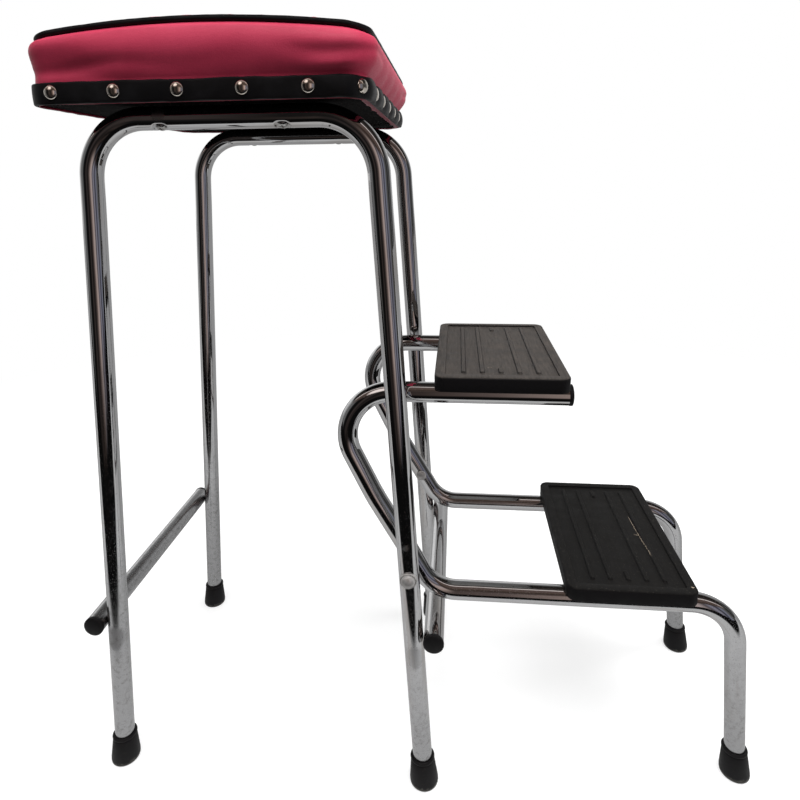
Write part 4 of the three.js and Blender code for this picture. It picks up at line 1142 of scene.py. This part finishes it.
# what polished metal sees round the stool: light or colour by compass angle in degrees, from the near side
# towards +X, at eye level, lower down, and on the paper that the stool stands on
levelStops = [
    (-180, 0.90), (-140, 1.0), (-116, 0.85), (-100, 0.50), (-84, 0.19), (-66, 0.17), (-56, 0.012),
    (-38, 0.004), (-26, (0.055, 0.043, 0.04)), (-15, 0.010), (-4, (0.05, 0.037, 0.033)),
    (4, (0.14, 0.105, 0.095)), (14, (0.48, 0.37, 0.33)), (23, (0.56, 0.46, 0.44)), (31, (0.10, 0.085, 0.09)),
    (40, (0.34, 0.33, 0.40)),
    (51, (0.025, 0.025, 0.035)), (61, (0.26, 0.27, 0.35)), (70, 0.15), (80, 0.09), (92, 0.012), (103, 0.13),
    (114, 0.008), (126, 0.27), (140, 0.42), (160, 0.60), (180, 0.90),
]
lowStops = [
    (-180, 0.95), (-120, 0.75), (-95, 0.30), (-78, 0.36), (-62, 0.20), (-52, 0.03), (-42, 0.004),
    (-27, 0.012), (-14, (0.045, 0.034, 0.03)), (-6, 0.008), (3, (0.045, 0.034, 0.03)), (13, 0.008),
    (24, (0.07, 0.072, 0.085)), (32, 0.008), (44, (0.07, 0.05, 0.045)), (53, (0.02, 0.016, 0.015)),
    (62, (0.14, 0.10, 0.09)), (70, 0.08),
    (80, 0.50), (90, 0.55), (100, 0.16), (113, 0.22), (128, 0.42), (145, 0.50), (180, 0.95),
]
paperStops = [(-180, 0.60), (-120, 0.90), (-70, 1.0), (0, 0.95), (50, 0.70), (100, 0.55), (150, 0.45),
              (180, 0.60)]
# the same over the stool, by angle in degrees from the near side up and over to the far side
archStops = [
    (0, 0.05), (14, (0.10, 0.08, 0.07)), (22, (0.035, 0.025, 0.022)), (28, (0.10, 0.075, 0.065)),
    (34, (0.045, 0.03, 0.025)), (46, (0.12, 0.085, 0.07)), (60, (0.13, 0.09, 0.08)), (68, (0.16, 0.12, 0.11)),
    (74, (1.3, 1.16, 1.1)), (79, (0.09, 0.08, 0.075)), (88, (0.05, 0.043, 0.04)), (98, (0.035, 0.03, 0.028)),
    (106, (0.020, 0.017, 0.015)), (126, (0.022, 0.019, 0.017)), (136, 0.13), (144, 0.32), (160, 0.60),
    (180, 0.85),
]


def turnRamp(share, stops):
    # colours by angle, each at its share of the turn from the first to the last
    low, high = stops[0][0], stops[-1][0]
    ramp = addNode(share.id_data, "ValToRGB", {"Fac": share})
    elements = ramp.color_ramp.elements
    while len(elements) < len(stops):
        elements.new(0.5)
    for element, (degrees, color) in zip(elements, stops):
        element.position = (degrees - low) / (high - low)
        element.color = (*color, 1) if isinstance(color, tuple) else grey(color)
    return ramp.outputs["Color"]


def studioWorld():
    # white for the camera, a sky that darkens downwards for the light, and the studio room in reflections
    world = bpy.data.worlds.new("studio")
    bpy.context.scene.world = world
    tree = bareTree(world)
    rays = addNode(tree, "LightPath").outputs
    heading = addNode(tree, "TexCoord").outputs["Generated"]
    height, away = component(heading, "Z"), times(component(heading, "Y"), -1.0)
    share = mapRange(calculated("ARCTAN2", component(heading, "X"), away), -math.pi, math.pi)
    arch = mapRange(calculated("ARCTAN2", height, away), 0.0, math.pi)
    room = turnRamp(share, levelStops)
    # each set of stops takes over between two heights of the heading
    for start, end, turn, stops in ((-0.24, -0.42, share, lowStops), (-0.69, -0.78, share, paperStops),
                                    (0.30, 0.42, arch, archStops)):
        room = blendColors(mapRange(height, start, end), room, turnRamp(turn, stops))
    compass, tilt = studio.windowCompass, studio.windowHeight
    middle = (math.sin(compass) * math.cos(tilt), -math.cos(compass) * math.cos(tilt), math.sin(tilt))
    near = vectorMath("DOT_PRODUCT", heading, middle)
    room = blendColors(mapRange(near, *studio.windowEdge), room, studio.window)
    fill = glow(tree, "Background", mapRange(height, -0.3, 1.0, studio.lowFill, studio.highFill))
    lit = mixShaders(rays["Is Glossy Ray"], fill, glow(tree, "Background", 1.0, room))
    seen = mixShaders(rays["Is Camera Ray"], lit, glow(tree, "Background", 1.0))
    addNode(tree, "OutputWorld", {"Surface": seen})


def addLamp(name, place, target, size, power):
    # soft rectangular lamp that faces its target; polished metal sees the room instead
    lamp = bpy.data.lights.new(name, "AREA")
    lamp.shape = "RECTANGLE"
    (lamp.size, lamp.size_y), lamp.energy = size, power
    made = addObject(name, lamp)
    made.location = place
    made.rotation_mode = "QUATERNION"
    made.rotation_quaternion = (Vector(target) - Vector(place)).to_track_quat("-Z", "Y")
    made.visible_glossy = False


view = Values({
    "place": (185.6 * mm, -606.4 * mm, 588.8 * mm),
    "yaw": 0.095,
    "pitch": -0.215,
    "roll": -0.012,
    "focalPixels": 599.7,
    "imagePixels": 800,
    "centrePixels": (401.0, 311.0),
})


def addCamera():
    # camera at the photograph's place: heading turned by yaw, tipped by pitch, then rolled
    yaw, pitch, roll = view.yaw, view.pitch, view.roll
    forward = Vector((-math.sin(yaw) * math.cos(pitch), math.cos(yaw) * math.cos(pitch), math.sin(pitch)))
    right = Vector((math.cos(yaw), math.sin(yaw), 0))
    up = right.cross(forward)
    rolledRight = right * math.cos(roll) + up * math.sin(roll)
    rolledUp = up * math.cos(roll) - right * math.sin(roll)
    data = bpy.data.cameras.new("camera")
    data.sensor_width = 36
    data.lens = view.focalPixels / view.imagePixels * data.sensor_width
    data.shift_x = 0.5 - view.centrePixels[0] / view.imagePixels
    data.shift_y = view.centrePixels[1] / view.imagePixels - 0.5
    data.clip_start, data.clip_end = 0.01, 60
    camera = addObject("camera", data)
    camera.matrix_world = (Matrix.Translation(Vector(view.place) + Vector((legMiddle, 0, 0)))
                           @ Matrix((rolledRight, rolledUp, -forward)).transposed().to_4x4())
    bpy.context.scene.camera = camera


addFloor()
studioWorld()
for name, values in studio.lamps.items():
    addLamp(name, *values)
addCamera()
bpy.context.scene.view_settings.view_transform = "Standard"
print("studio made")
